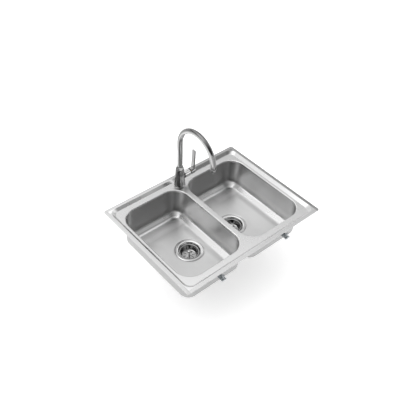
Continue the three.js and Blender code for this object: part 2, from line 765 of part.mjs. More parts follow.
// The casting: a cone with a flat seat below for the shank, a socket above for the spout, and the
// side barrel that holds the cartridge.
function tapCasting() {
  const cone = turned([
    [0, TAP_BASE_TOP],
    [TAP_BODY_R, TAP_BASE_TOP],
    [TAP_BODY_R, TAP_BASE_TOP + 4],
    [TAP_NECK_R + 0.6, TAP_BODY_TOP - 8],
    [TAP_NECK_R, TAP_BODY_TOP],
    [0, TAP_BODY_TOP],
  ], MID_ROUND);
  const barrel = turned([
    [0, 0],
    [BARREL_R, 0],
    [BARREL_R, BARREL_END - 1],
    [BARREL_R - 1, BARREL_END],
    [0, BARREL_END],
  ], MID_ROUND);
  const cartridgeBore = rod(CARTRIDGE_R + FIT_GAP, CARTRIDGE_START, BARREL_END + PAST, ROUND_STEPS);
  const spoutSocket = rod(SPOUT_R + FIT_GAP, SPOUT_SEAT, TAP_BODY_TOP + PAST, ROUND_STEPS);
  const waterway = rod(WATERWAY_R, BARREL_HEIGHT - CARTRIDGE_R - CARTRIDGE_START, SPOUT_SEAT + PAST);
  const shankSocket = rod(SHANK_R + FIT_GAP, TAP_BASE_TOP - PAST, SHANK_SEAT, ROUND_STEPS);
  return combine(
    [cone, alongX(barrel).translate(0, 0, BARREL_HEIGHT)],
    [alongX(cartridgeBore).translate(0, 0, BARREL_HEIGHT), spoutSocket, waterway, shankSocket],
  );
}

// The gooseneck: a straight riser, a half circle towards the user, and a short straight drop.
function spoutGeometry() {
  const stations = [[0, SPOUT_SEAT + GLIDE_HEIGHT, 0], [0, TAP_BODY_TOP + COLLAR_HEIGHT + 6, 0]];
  for (let i = 0; i <= SPOUT_ARC_STEPS; i += 1) {
    const angle = i / SPOUT_ARC_STEPS * HALF_TURN;
    stations.push([
      SPOUT_BEND * (Math.cos(angle) - 1),
      SPOUT_BEND_HEIGHT + SPOUT_BEND * Math.sin(angle),
      angle,
    ]);
  }
  stations.push([-SPOUT_REACH, SPOUT_BEND_HEIGHT - SPOUT_DROP, HALF_TURN]);
  const tube = (radius) => stations.map(([y, z, angle]) =>
    Array.from({ length: SPOUT_SIDES }, (_, k) => {
      const around = k / SPOUT_SIDES * 2 * HALF_TURN;
      const outward = radius * Math.cos(around);
      return new THREE.Vector3(
        radius * Math.sin(around),
        y + outward * Math.cos(angle),
        z + outward * Math.sin(angle),
      );
    }));
  return loft([...tube(SPOUT_R), ...tube(SPOUT_BORE_R).reverse()], false);
}

// The aerator screws over the spout's end, and its insert rests on a ledge inside.
const AERATOR_TOP = SPOUT_BEND_HEIGHT - SPOUT_DROP;
const AERATOR_LOW = AERATOR_TOP - AERATOR_HEIGHT;
const AERATOR_SEAT = AERATOR_LOW + AERATOR_LEDGE;
const AERATOR_BORE_R = SPOUT_BORE_R - 0.4;
const AERATOR_MOUTH_R = AERATOR_BORE_R - 1.4;

function aeratorHousing() {
  const outer = SPOUT_R + AERATOR_WALL_OUT;
  return turned([
    [AERATOR_MOUTH_R, AERATOR_LOW],
    [outer - 0.7, AERATOR_LOW],
    [outer, AERATOR_LOW + 1],
    [outer, AERATOR_TOP - 1],
    [outer - 0.7, AERATOR_TOP],
    [AERATOR_BORE_R, AERATOR_TOP],
    [AERATOR_BORE_R, AERATOR_SEAT],
    [AERATOR_MOUTH_R, AERATOR_SEAT],
  ], MID_ROUND);
}

function aeratorInsert() {
  const high = AERATOR_SEAT + 5;
  const hole = (x) =>
    rod(AERATOR_HOLE_R, AERATOR_SEAT - PAST, high + PAST, HOLE_ROUND).translate(x, 0, 0);
  const ring = Array.from({ length: AERATOR_HOLES }, (_, i) =>
    hole(AERATOR_HOLE_RING_R).rotateZ(i / AERATOR_HOLES * 2 * HALF_TURN));
  const plug = rod(AERATOR_BORE_R - FIT_GAP, AERATOR_SEAT, high, MID_ROUND);
  return combine([plug], [hole(0), ...ring]);
}

function spoutCollar() {
  const bore = SPOUT_R + FIT_GAP;
  const outer = TAP_NECK_R - 0.4;
  return turned([
    [bore, TAP_BODY_TOP],
    [outer, TAP_BODY_TOP],
    [outer, TAP_BODY_TOP + 3],
    [outer - 1, TAP_BODY_TOP + 6],
    [bore + 2.2, TAP_BODY_TOP + 10],
    [bore + 1.2, TAP_BODY_TOP + COLLAR_HEIGHT],
    [bore, TAP_BODY_TOP + COLLAR_HEIGHT],
  ], MID_ROUND);
}

const baseRing = () => turned([
  [SHANK_R + 2 * FIT_GAP, TAP_GASKET_HEIGHT],
  [TAP_BASE_R, TAP_GASKET_HEIGHT],
  [TAP_BASE_R, TAP_BASE_TOP - 1.2],
  [TAP_BASE_R - 1, TAP_BASE_TOP],
  [SHANK_R + 2 * FIT_GAP, TAP_BASE_TOP],
], MID_ROUND);

const tapGasket = () => washer(SHANK_R + 2 * FIT_GAP, TAP_BASE_R - 1, 0, TAP_GASKET_HEIGHT);
const glideRing = () =>
  washer(WATERWAY_R + 0.4, SPOUT_R, SPOUT_SEAT, SPOUT_SEAT + GLIDE_HEIGHT);

add(tap, 'tap_gasket', tapGasket(), blackRubber());
add(tap, 'tap_base_ring', baseRing(), chrome());
add(tap, 'tap_body', tapCasting(), chrome());
add(tap, 'spout_glide_ring', glideRing(), whiteNylon());
add(tap, 'spout_collar', spoutCollar(), chrome());
add(tap, 'tap_spout', spoutGeometry(), chrome());
const outlet = subgroup(tap, 0, -SPOUT_REACH, 0);
add(outlet, 'aerator_housing', aeratorHousing(), chrome());
add(outlet, 'aerator_insert', aeratorInsert(), greyNylon());

// Below the deck: the hollow shank, its washers and nut, and the two water inlets inside it.
const RUBBER_LOW = -SHEET - RUBBER_WASHER_HEIGHT;
const STEEL_LOW = RUBBER_LOW - STEEL_WASHER_HEIGHT;
const NUT_LOW = STEEL_LOW - SHANK_NUT_HEIGHT;
const SHANK_CLEAR_R = SHANK_R + FIT_GAP;

const waterInlet = () => turned([
  [INLET_BORE_R, -SHANK_DROP - INLET_DROP],
  [INLET_R, -SHANK_DROP - INLET_DROP],
  [INLET_R, -SHANK_DROP - 6],
  [INLET_R + 0.6, -SHANK_DROP - 5],
  [INLET_R + 0.6, -SHANK_DROP],
  [INLET_R, -SHANK_DROP + 1],
  [INLET_R, SHANK_SEAT],
  [INLET_BORE_R, SHANK_SEAT],
]);

add(tap, 'tap_shank', washer(SHANK_BORE_R, SHANK_R, -SHANK_DROP, SHANK_SEAT), brass());
add(tap, 'tap_rubber_washer', washer(SHANK_CLEAR_R, SHANK_NUT_R, RUBBER_LOW, -SHEET), blackRubber());
add(tap, 'tap_steel_washer', washer(SHANK_CLEAR_R, SHANK_NUT_R - 1, STEEL_LOW, RUBBER_LOW), zincPlate());
add(tap, 'tap_nut', nut(6, SHANK_NUT_R, SHANK_CLEAR_R, NUT_LOW, STEEL_LOW), brass());
for (const [label, side] of [['hot', -1], ['cold', 1]]) {
  add(tap, `${label}_inlet`, waterInlet(), brass()).position.x = side * INLET_OFFSET;
}

// Inside the barrel: the cartridge, its domed nut, the rotor that turns with the lever, and the stem
// that tips on a pin in the rotor.
const valve = subgroup(tap, 0, 0, BARREL_HEIGHT);

const cartridge = () => alongX(turned([
  [0, CARTRIDGE_START],
  [CARTRIDGE_R, CARTRIDGE_START],
  [CARTRIDGE_R, CARTRIDGE_END],
  [ROTOR_R, CARTRIDGE_END],
  [ROTOR_R, CARTRIDGE_FLOOR],
  [0, CARTRIDGE_FLOOR],
], MID_ROUND));

// Its mouth widens outward, so the stem can tip in it.
const cartridgeNut = () => alongX(turned([
  [ROTOR_R, CARTRIDGE_END],
  [CARTRIDGE_R, CARTRIDGE_END],
  [CARTRIDGE_R, BARREL_END],
  [CARTRIDGE_R - 0.8, BARREL_END + 1],
  [CARTRIDGE_R - 2.6, BARREL_END + 4],
  [ROTOR_R, BARREL_END + NUT_DOME],
  [STEM_R + 2.1, NUT_SHOULDER],
  [ROTOR_R, NUT_SHOULDER],
], MID_ROUND));

// A rod across the barrel at the stem's pivot.
const crossRod = (radius, half) =>
  rod(radius, -half, half).rotateX(QUARTER_TURN).translate(STEM_PIVOT, 0, 0);
const pinBore = () => crossRod(PIN_R + FIT_GAP, CARTRIDGE_R);

function cartridgeRotor() {
  const body = alongX(rod(ROTOR_R - FIT_GAP, CARTRIDGE_FLOOR, ROTOR_END, MID_ROUND));
  const cup = alongX(turned([
    [0, STEM_PIVOT - 5],
    [STEM_R + 1.7, STEM_PIVOT - 5],
    [STEM_R + 0.5, STEM_PIVOT],
    [STEM_R + 2, ROTOR_END + 1],
    [0, ROTOR_END + 1],
  ]));
  return combine([body], [cup, pinBore()]);
}

const leverStem = () => combine([alongX(rod(STEM_R, STEM_PIVOT - 4, STEM_END))], [pinBore()]);

// The domed hub with its flat upright lever, hollow behind for the domed nut and bored for the stem.
function leverHandle() {
  const cupEnd = HUB_START + HUB_CUP_DEPTH;
  const hub = alongX(turned([
    [0, STEM_END],
    [STEM_R + FIT_GAP, STEM_END],
    [STEM_R + FIT_GAP, cupEnd],
    [HUB_R - HUB_WALL, cupEnd],
    [HUB_R - HUB_WALL, HUB_START],
    [HUB_R, HUB_START],
    [HUB_R, HUB_END - 12],
    [HUB_R - 1.3, HUB_END - 7],
    [HUB_R - 4.5, HUB_END - 3],
    [HUB_R - 9, HUB_END - 0.6],
    [0, HUB_END],
  ], MID_ROUND));
  const tip = LEVER_TIP_HEIGHT - BARREL_HEIGHT;
  const centre = HUB_END - LEVER_FROM_END;
  const slice = (thicker, wider, z, lean) => {
    const thick = LEVER_THICKNESS + thicker;
    return roundedRing(thick / 2, (LEVER_WIDTH + wider) / 2, thick * 0.45, z, centre + lean, 2);
  };
  const blade = loft([
    slice(4, 2, 5, 0),
    slice(3, 1, 16, 0.2),
    slice(0.8, 0, 30, 0.8),
    slice(0, 0, tip - 4, LEVER_LEAN),
    slice(-0.8, -1.2, tip - 1.2, LEVER_LEAN + 0.1),
    slice(-2.6, -4.4, tip, LEVER_LEAN + 0.2),
  ]);
  const grubHole = rod(GRUB_R, -HUB_R - PAST, 0).translate(STEM_END - GRUB_FROM_END, 0, 0);
  return combine([hub, blade], [grubHole]);
}

const grubScrew = () => rod(GRUB_R - FIT_GAP, -HUB_R + 1.5, -STEM_R - 0.1)
  .translate(STEM_END - GRUB_FROM_END, 0, 0);

add(valve, 'cartridge', cartridge(), whiteNylon());
add(valve, 'cartridge_nut', cartridgeNut(), chrome());
add(valve, 'cartridge_rotor', cartridgeRotor(), greyNylon());
add(valve, 'stem_pin', crossRod(PIN_R, PIN_HALF), zincPlate());
add(valve, 'lever_stem', leverStem(), brass());
add(valve, 'lever_handle', leverHandle(), chrome());
add(valve, 'lever_grub_screw', grubScrew(), zincPlate());

export default sink;
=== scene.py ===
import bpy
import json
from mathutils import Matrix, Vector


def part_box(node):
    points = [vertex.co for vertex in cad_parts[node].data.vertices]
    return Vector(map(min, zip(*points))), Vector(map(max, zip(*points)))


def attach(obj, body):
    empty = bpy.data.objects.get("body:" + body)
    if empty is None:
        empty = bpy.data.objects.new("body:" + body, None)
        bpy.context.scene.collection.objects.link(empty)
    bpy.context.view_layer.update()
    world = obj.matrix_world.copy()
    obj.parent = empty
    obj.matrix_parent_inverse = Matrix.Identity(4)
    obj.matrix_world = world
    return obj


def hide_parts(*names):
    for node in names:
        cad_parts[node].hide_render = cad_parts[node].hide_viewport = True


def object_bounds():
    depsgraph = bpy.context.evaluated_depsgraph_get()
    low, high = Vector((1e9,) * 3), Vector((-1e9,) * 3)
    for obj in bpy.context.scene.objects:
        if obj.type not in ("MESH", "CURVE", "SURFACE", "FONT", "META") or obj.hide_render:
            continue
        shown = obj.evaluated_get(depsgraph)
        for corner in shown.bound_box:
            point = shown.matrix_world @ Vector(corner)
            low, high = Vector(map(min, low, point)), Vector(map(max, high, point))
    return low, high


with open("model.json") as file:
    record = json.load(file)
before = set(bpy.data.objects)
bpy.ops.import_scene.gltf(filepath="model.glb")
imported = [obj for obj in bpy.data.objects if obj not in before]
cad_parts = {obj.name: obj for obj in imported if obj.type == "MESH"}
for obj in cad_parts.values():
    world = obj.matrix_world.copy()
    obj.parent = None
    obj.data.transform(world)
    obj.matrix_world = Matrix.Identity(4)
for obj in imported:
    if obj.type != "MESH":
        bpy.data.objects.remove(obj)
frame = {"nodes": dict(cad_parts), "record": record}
import json
import math

import bmesh
import bpy
from mathutils import Matrix, Vector

CAD_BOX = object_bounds()
NODES = frame["nodes"]
MM = 0.001

# ------------------------------------------------------------------ sizes, in millimetres
SHEET = 1.2
RIM_CORNER = 9
RIM_INNER_CORNER = 8
RIM_WIDTH = 14
RIM_EDGE_DROP = 1.1
RIM_EDGE_ROUND = 0.8
RIM_DROOP = 0.9
RIM_DROOP_AT = (0.6, 0.3)  # this share of the rim's width in, this share of the droop is left
STEP_RUN = (0.64, 11.78)
STEP_RUN_IN = 4
STEP_RUN_OUT = 6
STEP_CORNER = 32
STEP_CORNER_TIGHTENS = 0.6
STEP_ROUND = 1.2
STEP_UNDER = 0.72  # how far the step's underside lies outside its top
BOWL_CORNER = 64
BOWL_FLOOR_CORNER = 40
BOWL_DRAFT = 5
BOWL_FILLET = 29
FOOT_CORNER_MIN = 12
FOOT_SLOPE = 52
FOOT_TOP_R = 6
FOOT_LOW_R = 20
FLOOR_FALL = 2
WASTE_REBATE = 2
LIP_RADIUS = 4
RECESS_R = 58.5
RECESS_LEAD = 3
WASTE_HOLE_R = 43.5
TAP_HOLE_R = 17.5
CAD_BEVEL = 0.35
TURNED_ROUND = 0.35
WELD = 0.01

# Edges sharper than these angles stay crisp
SHARP_SHEET = 50
SHARP_TURNED = 40
SHARP_CUT = 35

# Mesh resolution
RIM_EDGE_STEPS = 4
CORNER_STEPS = 14
SIDE_STEPS = 8
ARC_STEPS = 6
FILLET_STEPS = 14
FLOOR_STEPS = 8
ROUND = 72
SCREW_ROUND = 36
TUBE_ROUND = 40
SPOUT_STEPS = 72


# ------------------------------------------------------------------ frame levels
def box_mm(node):
    low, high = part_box(node)
    return low / MM, high / MM


deck_high = box_mm("sink_deck")[1]
HALF_X = deck_high.x
HALF_Y = deck_high.y
RIM_TOP = deck_high.z
RIM_EDGE_LOW = RIM_TOP - SHEET - RIM_EDGE_DROP
bowl_low, bowl_high = box_mm("right_bowl")
BOWL_TOP = bowl_high.z
DECK_TOP = box_mm("tap_gasket")[0].z
BOWL_CENTRE_X = (bowl_low.x + bowl_high.x) / 2
BOWL_HALF_X = (bowl_high.x - bowl_low.x) / 2 - SHEET
BOWL_HALF_Y = bowl_high.y - SHEET
flange_low, flange_high = box_mm("right_strainer_flange")
WASTE_X = (flange_low.x + flange_high.x) / 2
WASTE_Y = (flange_low.y + flange_high.y) / 2
WASTE_Z = box_mm("right_waste_gasket")[1].z + SHEET
FLOOR_Z = WASTE_Z + FLOOR_FALL + WASTE_REBATE
SIDES = (("left", -1), ("right", 1))


# ------------------------------------------------------------------ mesh helpers
def mesh_object(name, points, faces, at=(0, 0, 0)):
    """A mesh from points in millimetres in the row frame, with its own origin at a point."""
    origin = Vector(at)
    mesh = bpy.data.meshes.new(name)
    mesh.from_pydata([tuple((Vector(p) - origin) * MM) for p in points], [], faces)
    obj = bpy.data.objects.new(name, mesh)
    obj.location = origin * MM
    bpy.context.scene.collection.objects.link(obj)
    edit(obj, lambda bm: bmesh.ops.recalc_face_normals(bm, faces=bm.faces))
    return obj


def edit(obj, change):
    bm = bmesh.new()
    bm.from_mesh(obj.data)
    change(bm)
    bm.to_mesh(obj.data)
    bm.free()
    return obj


def merge(obj):
    return edit(obj, lambda bm: bmesh.ops.remove_doubles(bm, verts=bm.verts, dist=0.002 * MM))


def shade(obj, angle):
    """Smooth faces, with edges sharper than an angle kept crisp."""
    for polygon in obj.data.polygons:
        polygon.use_smooth = True
    obj.data.set_sharp_from_angle(angle=math.radians(angle))
    return obj


def weighted(obj):
    modifier = obj.modifiers.new("weighted", "WEIGHTED_NORMAL")
    modifier.keep_sharp = True
    modifier.weight = 100
    return obj


def bevel(obj):
    modifier = obj.modifiers.new("bevel", "BEVEL")
    modifier.width = CAD_BEVEL * MM
    modifier.segments = 2
    modifier.limit_method = "ANGLE"
    modifier.angle_limit = math.radians(SHARP_CUT)
    modifier.harden_normals = True


def apply_modifiers(obj):
    graph = bpy.context.evaluated_depsgraph_get()
    mesh = bpy.data.meshes.new_from_object(obj.evaluated_get(graph))
    obj.modifiers.clear()
    obj.data = mesh
    return obj


def cut_or_join(obj, tools, operation):
    """Applies boolean tools one after another and removes them."""
    for tool in tools:
        modifier = obj.modifiers.new("boolean", "BOOLEAN")
        modifier.operation = operation
        modifier.solver = "EXACT"
        modifier.object = tool
        apply_modifiers(obj)
        bpy.data.objects.remove(tool)
    return obj


def ring_faces(count, rings, closed=False):
    """Quads between rings of equal counts, with the points listed ring after ring."""
    faces = []
    spans = rings if closed else rings - 1
    for s in range(spans):
        low, high = s * count, ((s + 1) % rings) * count
        faces += [
            (low + i, low + (i + 1) % count, high + (i + 1) % count, high + i)
            for i in range(count)
        ]
    return faces


def loft(name, rings, at=(0, 0, 0)):
    """A closed skin over rings, from the last one back to the first."""
    points = [p for ring in rings for p in ring]
    return mesh_object(name, points, ring_faces(len(rings[0]), len(rings), True), at)


def is_pole(radius):
    return radius < 1e-6


def turned(name, profile, at, axis="z", segments=ROUND):
    """A profile of (radius, height) pairs turned about an axis through a point."""
    points, faces, starts = [], [], []
    for radius, height in profile:
        starts.append(len(points))
        for k in range(1 if is_pole(radius) else segments):
            angle = 2 * math.pi * k / segments
            u, v = radius * math.cos(angle), radius * math.sin(angle)
            local = (u, v, height) if axis == "z" else (height, u, v)
            points.append(Vector(at) + Vector(local))
    pairs = len(profile) - 1 if is_pole(profile[0][0]) else len(profile)
    for i in range(pairs):
        j = (i + 1) % len(profile)
        for k in range(segments):
            quad = []
            for index, step in ((i, k), (i, k + 1), (j, k + 1), (j, k)):
                pole = is_pole(profile[index][0])
                quad.append(starts[index] + (0 if pole else step % segments))
            face = list(dict.fromkeys(quad))
            if len(face) > 2:
                faces.append(face)
    return mesh_object(name, points, faces, at)


FLAT_TURN = math.radians(4)
CORNER_SHARE = 0.45


def rounded(profile, radius, steps=3, closed=True):
    """The same outline with its corners rounded, by less where an edge is short."""
    result = []
    count = len(profile)
    for i, corner in enumerate(profile):
        corner = Vector(corner)
        if not closed and i in (0, count - 1):
            result.append(tuple(corner))
            continue
        before = Vector(profile[i - 1]) - corner
        after = Vector(profile[(i + 1) % count]) - corner
        turn = math.pi - before.angle(after)
        if turn < FLAT_TURN:
            result.append(tuple(corner))
            continue
        shorter = min(before.length, after.length)
        reach = min(radius * math.tan(turn / 2), shorter * CORNER_SHARE)
        start = corner + before.normalized() * reach
        end = corner + after.normalized() * reach
        for k in range(steps + 1):
            t = k / steps
            point = start * (1 - t) ** 2 + corner * 2 * t * (1 - t) + end * t * t
            result.append(tuple(point))
    return result


ON_AXIS = 0.02
ON_PLANE = 0.01


def cad_profile(node, axis="z"):
    """The outline that a turned CAD node was turned from, as (radius, height) pairs."""
    low, high = box_mm(node)
    centre = (low + high) / 2
    mesh = NODES[node].data
    order = (0, 1, 2) if axis == "z" else (1, 2, 0)
    keys = []
    for vertex in mesh.vertices:
        p = vertex.co / MM
        u, v = p[order[0]] - centre[order[0]], p[order[1]] - centre[order[1]]
        on_plane = abs(v) < ON_PLANE and u > -ON_PLANE
        keys.append((round(max(u, 0), 2), round(p[order[2]], 2)) if on_plane else None)
    links = {}
    for edge in mesh.edges:
        a, b = (keys[i] for i in edge.vertices)
        if a is None or b is None or a == b or (a[0] < ON_AXIS and b[0] < ON_AXIS):
            continue
        links.setdefault(a, set()).add(b)
        links.setdefault(b, set()).add(a)
    poles = [k for k in links if k[0] < ON_AXIS]
    here = min(poles, key=lambda k: k[1]) if poles else min(links)
    outline = [here]
    while True:
        onward = [k for k in sorted(links[outline[-1]]) if k not in outline]
        if not onward:
            return outline, centre
        outline.append(onward[0])


def turned_again(node, axis="z", segments=ROUND):
    """A CAD node's own outline, with rounded edges, turned smoothly."""
    outline, centre = cad_profile(node, axis)
    at = Vector((centre.x, centre.y, 0)) if axis == "z" else Vector((0, centre.y, centre.z))
    profile = rounded(outline, TURNED_ROUND, closed=outline[0][0] > ON_AXIS)
    return shade(turned(node + "_look", profile, at, axis, segments), SHARP_TURNED)


# ------------------------------------------------------------------ outlines
def outline_ring(half_x, half_y, corner, z, centre_x=0.0):
    """A rounded rectangle with points along its sides too, all rings in the same order."""
    ring = []
    for quarter_turn in range(4):
        side_x = 1 if quarter_turn in (0, 3) else -1
        side_y = 1 if quarter_turn < 2 else -1
        cx, cy = side_x * (half_x - corner), side_y * (half_y - corner)
        for i in range(CORNER_STEPS + 1):
            angle = (quarter_turn + i / CORNER_STEPS) * math.pi / 2
            ring.append(Vector((
                centre_x + cx + corner * math.cos(angle), cy + corner * math.sin(angle), z)))
        start = ring[-1]
        end = Vector(start)
        if quarter_turn in (0, 2):
            end.x = centre_x - cx
        else:
            end.y = -cy
        for i in range(1, SIDE_STEPS):
            ring.append(start.lerp(end, i / SIDE_STEPS))
    return ring


def rim_ring(inset, z, corner=RIM_CORNER):
    return outline_ring(HALF_X - inset, HALF_Y - inset, corner, z)


def step_ring(inset, z, outward=0.0):
    corner = STEP_CORNER - inset * STEP_CORNER_TIGHTENS + outward
    reach = RIM_WIDTH + inset - outward
    return outline_ring(HALF_X - reach, HALF_Y - reach, corner, z)


def lip_ring(side, outward, z):
    return outline_ring(BOWL_HALF_X + outward, BOWL_HALF_Y + outward, BOWL_CORNER + outward, z,
                        side * BOWL_CENTRE_X)


def circle(radius, z, cx, cy, count=ROUND):
    return [
        Vector((cx + radius * math.cos(2 * math.pi * i / count),
                cy + radius * math.sin(2 * math.pi * i / count), z))
        for i in range(count)
    ]


# ------------------------------------------------------------------ deck
def step_profile(lift):
    """The S of the step from rim to deck as (inset, height), moved down by the sheet."""
    top, foot = STEP_RUN
    corners = [(-STEP_RUN_IN, RIM_TOP), (top, RIM_TOP), (foot, DECK_TOP),
               (foot + STEP_RUN_OUT, DECK_TOP)]
    return [(x, z - lift) for x, z in rounded(corners, STEP_ROUND, ARC_STEPS, False)]


def fill_between(bm, loops):
    """Flat faces between the outer loop and the holes inside it."""
    edges = []
    for loop in loops:
        vertices = [bm.verts.new(p * MM) for p in loop]
        edges += [bm.edges.new((vertices[i], vertices[(i + 1) % len(loop)]))
                  for i in range(len(loop))]
    bmesh.ops.triangle_fill(bm, use_beauty=True, use_dissolve=False, edges=edges)


def add_loft(bm, rings):
    count = len(rings[0])
    vertices = [bm.verts.new(p * MM) for ring in rings for p in ring]
    for face in ring_faces(count, len(rings)):
        bm.faces.new([vertices[i] for i in face])


def quarter(radius, steps):
    for i in range(steps + 1):
        angle = i / steps * math.pi / 2
        yield radius * math.sin(angle), radius * (1 - math.cos(angle))


def deck_sheet():
    bm = bmesh.new()
    upper = step_profile(0)
    lower = step_profile(SHEET)
    edge_foot = RIM_TOP - RIM_DROOP - RIM_EDGE_ROUND
    edge = [(d, edge_foot + s) for s, d in quarter(RIM_EDGE_ROUND, RIM_EDGE_STEPS)]
    edge.append((RIM_WIDTH * RIM_DROOP_AT[0], RIM_TOP - RIM_DROOP * RIM_DROOP_AT[1]))
    outer = [rim_ring(SHEET, RIM_EDGE_LOW), rim_ring(0, RIM_EDGE_LOW)]
    outer += [rim_ring(inset, z) for inset, z in edge]
    add_loft(bm, outer + [step_ring(x, z) for x, z in upper[1:-1]])
    under = [step_ring(x, z, STEP_UNDER) for x, z in lower[1:-1]]
    inner_edge = rim_ring(SHEET, RIM_TOP - SHEET, RIM_INNER_CORNER)
    add_loft(bm, [rim_ring(SHEET, RIM_EDGE_LOW), inner_edge] + under)
    tap_y = (box_mm("tap_gasket")[0].y + box_mm("tap_gasket")[1].y) / 2
    top_loops = [step_ring(*upper[-2])]
    low_loops = [under[-1]]
    for _, side in SIDES:
        lip = [lip_ring(side, LIP_RADIUS - s, DECK_TOP - d)
               for s, d in quarter(LIP_RADIUS, ARC_STEPS)]
        lip.append(lip_ring(side, 0, BOWL_TOP))
        back = [lip_ring(side, SHEET, BOWL_TOP)]
        back += [lip_ring(side, LIP_RADIUS + SHEET - s, DECK_TOP - SHEET - d)
                 for s, d in reversed(list(quarter(LIP_RADIUS, ARC_STEPS)))]
        add_loft(bm, lip + back)
        top_loops.append(lip[0])
        low_loops.append(back[-1])
    hole = [circle(TAP_HOLE_R, z, 0, tap_y) for z in (DECK_TOP, DECK_TOP - SHEET)]
    add_loft(bm, hole)
    fill_between(bm, top_loops + [hole[0]])
    fill_between(bm, low_loops + [hole[1]])
    bmesh.ops.remove_doubles(bm, verts=bm.verts, dist=WELD * MM)
    bmesh.ops.recalc_face_normals(bm, faces=bm.faces)
    mesh = bpy.data.meshes.new("deck_sheet")
    bm.to_mesh(mesh)
    bm.free()
    obj = bpy.data.objects.new("deck_sheet", mesh)
    bpy.context.scene.collection.objects.link(obj)
    return weighted(shade(obj, SHARP_SHEET))


# ------------------------------------------------------------------ bowls
def inner_foot():
    """The wall's turn into the floor as (inset, height): a tight bend, a slope, a wide bend."""
    turn = math.radians(FOOT_SLOPE)
    low_tangent = FOOT_LOW_R * math.tan((math.pi / 2 - turn) / 2)
    bend = (BOWL_FILLET - low_tangent) / math.tan(turn) + FOOT_TOP_R * math.tan(turn / 2)
    points = []
    for i in range(FILLET_STEPS + 1):
        a = turn * i / FILLET_STEPS
        points.append((FOOT_TOP_R * (1 - math.cos(a)), bend - FOOT_TOP_R * math.sin(a)))
    for i in range(FILLET_STEPS + 1):
        a = turn + (math.pi / 2 - turn) * i / FILLET_STEPS
        points.append((BOWL_FILLET - FOOT_LOW_R * math.cos(a), FOOT_LOW_R * (1 - math.sin(a))))
    return points


RECESS_EDGE = ((0.8, 0.12), (0, 0.5), (-0.9, 1.4))  # (past the recess's radius, below the floor)
RECESS_FOOT = -1.5


def bowl_rings(side, outward):
    """One face of a bowl's sheet from its top to the waste hole, moved outward by a distance."""
    foot_top = FLOOR_Z + BOWL_FILLET
    scale = (BOWL_FILLET + outward) / BOWL_FILLET
    centre_x = side * BOWL_CENTRE_X
    waste = Vector((side * WASTE_X, WASTE_Y, 0))

    def ring(inset, corner, z):
        return outline_ring(BOWL_HALF_X - inset + outward, BOWL_HALF_Y - inset + outward,
                            corner + outward, z, centre_x)

    rings = []
    for i in range(FILLET_STEPS):
        t = i / FILLET_STEPS
        corner = BOWL_CORNER + (BOWL_FLOOR_CORNER - BOWL_CORNER) * t
        rings.append(ring(BOWL_DRAFT * t, corner, BOWL_TOP + (foot_top - BOWL_TOP) * t))
    if outward:
        foot = [(inset * scale, BOWL_FILLET - drop * scale)
                for drop, inset in quarter(BOWL_FILLET, FILLET_STEPS)]
    else:
        foot = inner_foot()
    for inset, height in foot:
        corner = max(BOWL_FLOOR_CORNER - inset / scale, FOOT_CORNER_MIN)
        rings.append(ring(BOWL_DRAFT + inset, corner, FLOOR_Z + height))
    floor_edge = rings[-1]
    directions = [(Vector((p.x, p.y, 0)) - waste).normalized() for p in floor_edge]
    recess = RECESS_R + RECESS_LEAD + outward / 2
    for i in range(1, FLOOR_STEPS + 1):
        t = i / FLOOR_STEPS
        fall = FLOOR_FALL * t * t * (3 - 2 * t)
        rings.append([
            p.lerp(waste + d * recess + Vector((0, 0, p.z)), t) - Vector((0, 0, fall))
            for p, d in zip(floor_edge, directions)
        ])
    shelf = FLOOR_Z - FLOOR_FALL - outward
    dish = [(RECESS_R + outward + step, shelf - drop) for step, drop in RECESS_EDGE]
    dish += [(RECESS_R + outward + RECESS_FOOT, WASTE_Z - outward),
             (WASTE_HOLE_R, WASTE_Z - outward)]
    for radius, z in dish:
        rings.append([waste + d * radius + Vector((0, 0, z)) for d in directions])
    return rings


def bowl(label, side):
    rings = bowl_rings(side, 0) + bowl_rings(side, SHEET)[::-1]
    return weighted(shade(loft(label + "_bowl_pressing", rings), SHARP_TURNED))


# ------------------------------------------------------------------ wastes
def slot_cutter(size, at, turn, tilt=0.0):
    """A bar of (length, width, depth) with round ends along its first axis, for cutting slots."""
    length, width, depth = size
    half, radius = length / 2 - width / 2, width / 2
    outline = []
    for k in range(2 * SLOT_ENDS):
        first = k < SLOT_ENDS
        start = -math.pi / 2 if first else math.pi / 2
        angle = start + math.pi * (k if first else k - SLOT_ENDS) / (SLOT_ENDS - 1)
        shift = half if first else -half
        outline.append((shift + radius * math.cos(angle), radius * math.sin(angle)))
    points = [(x, y, z) for z in (-depth / 2, depth / 2) for x, y in outline]
    count = len(outline)
    faces = ring_faces(count, 2) + [list(range(count)), list(range(count, 2 * count))]
    cutter = mesh_object("cutter", points, faces)
    cutter.data.transform(Matrix.Rotation(tilt, 4, "Y"))
    cutter.data.transform(Matrix.Translation(Vector(at) * MM))
    cutter.data.transform(Matrix.Rotation(turn, 4, "Z"))
    return cutter


BASKET_SLOTS = 8
FLOOR_SLOT = (12, 2.6, 8)
FLOOR_SLOT_R = 18
WALL_SLOT = (11, 3.2, 16)
WALL_SLOT_LIFT = 0.5
SLOT_ENDS = 8
BASKET_TOP = -6
BASKET_FLOOR = -29
BASKET_RIM_R = 39
BASKET_FLOOR_R = 29
WALL_SLOT_R = BASKET_FLOOR_R + 3.5
BASKET_WALL = 1.2
BASKET_ROUND = 0.8
POST_CLEAR_R = 3.3


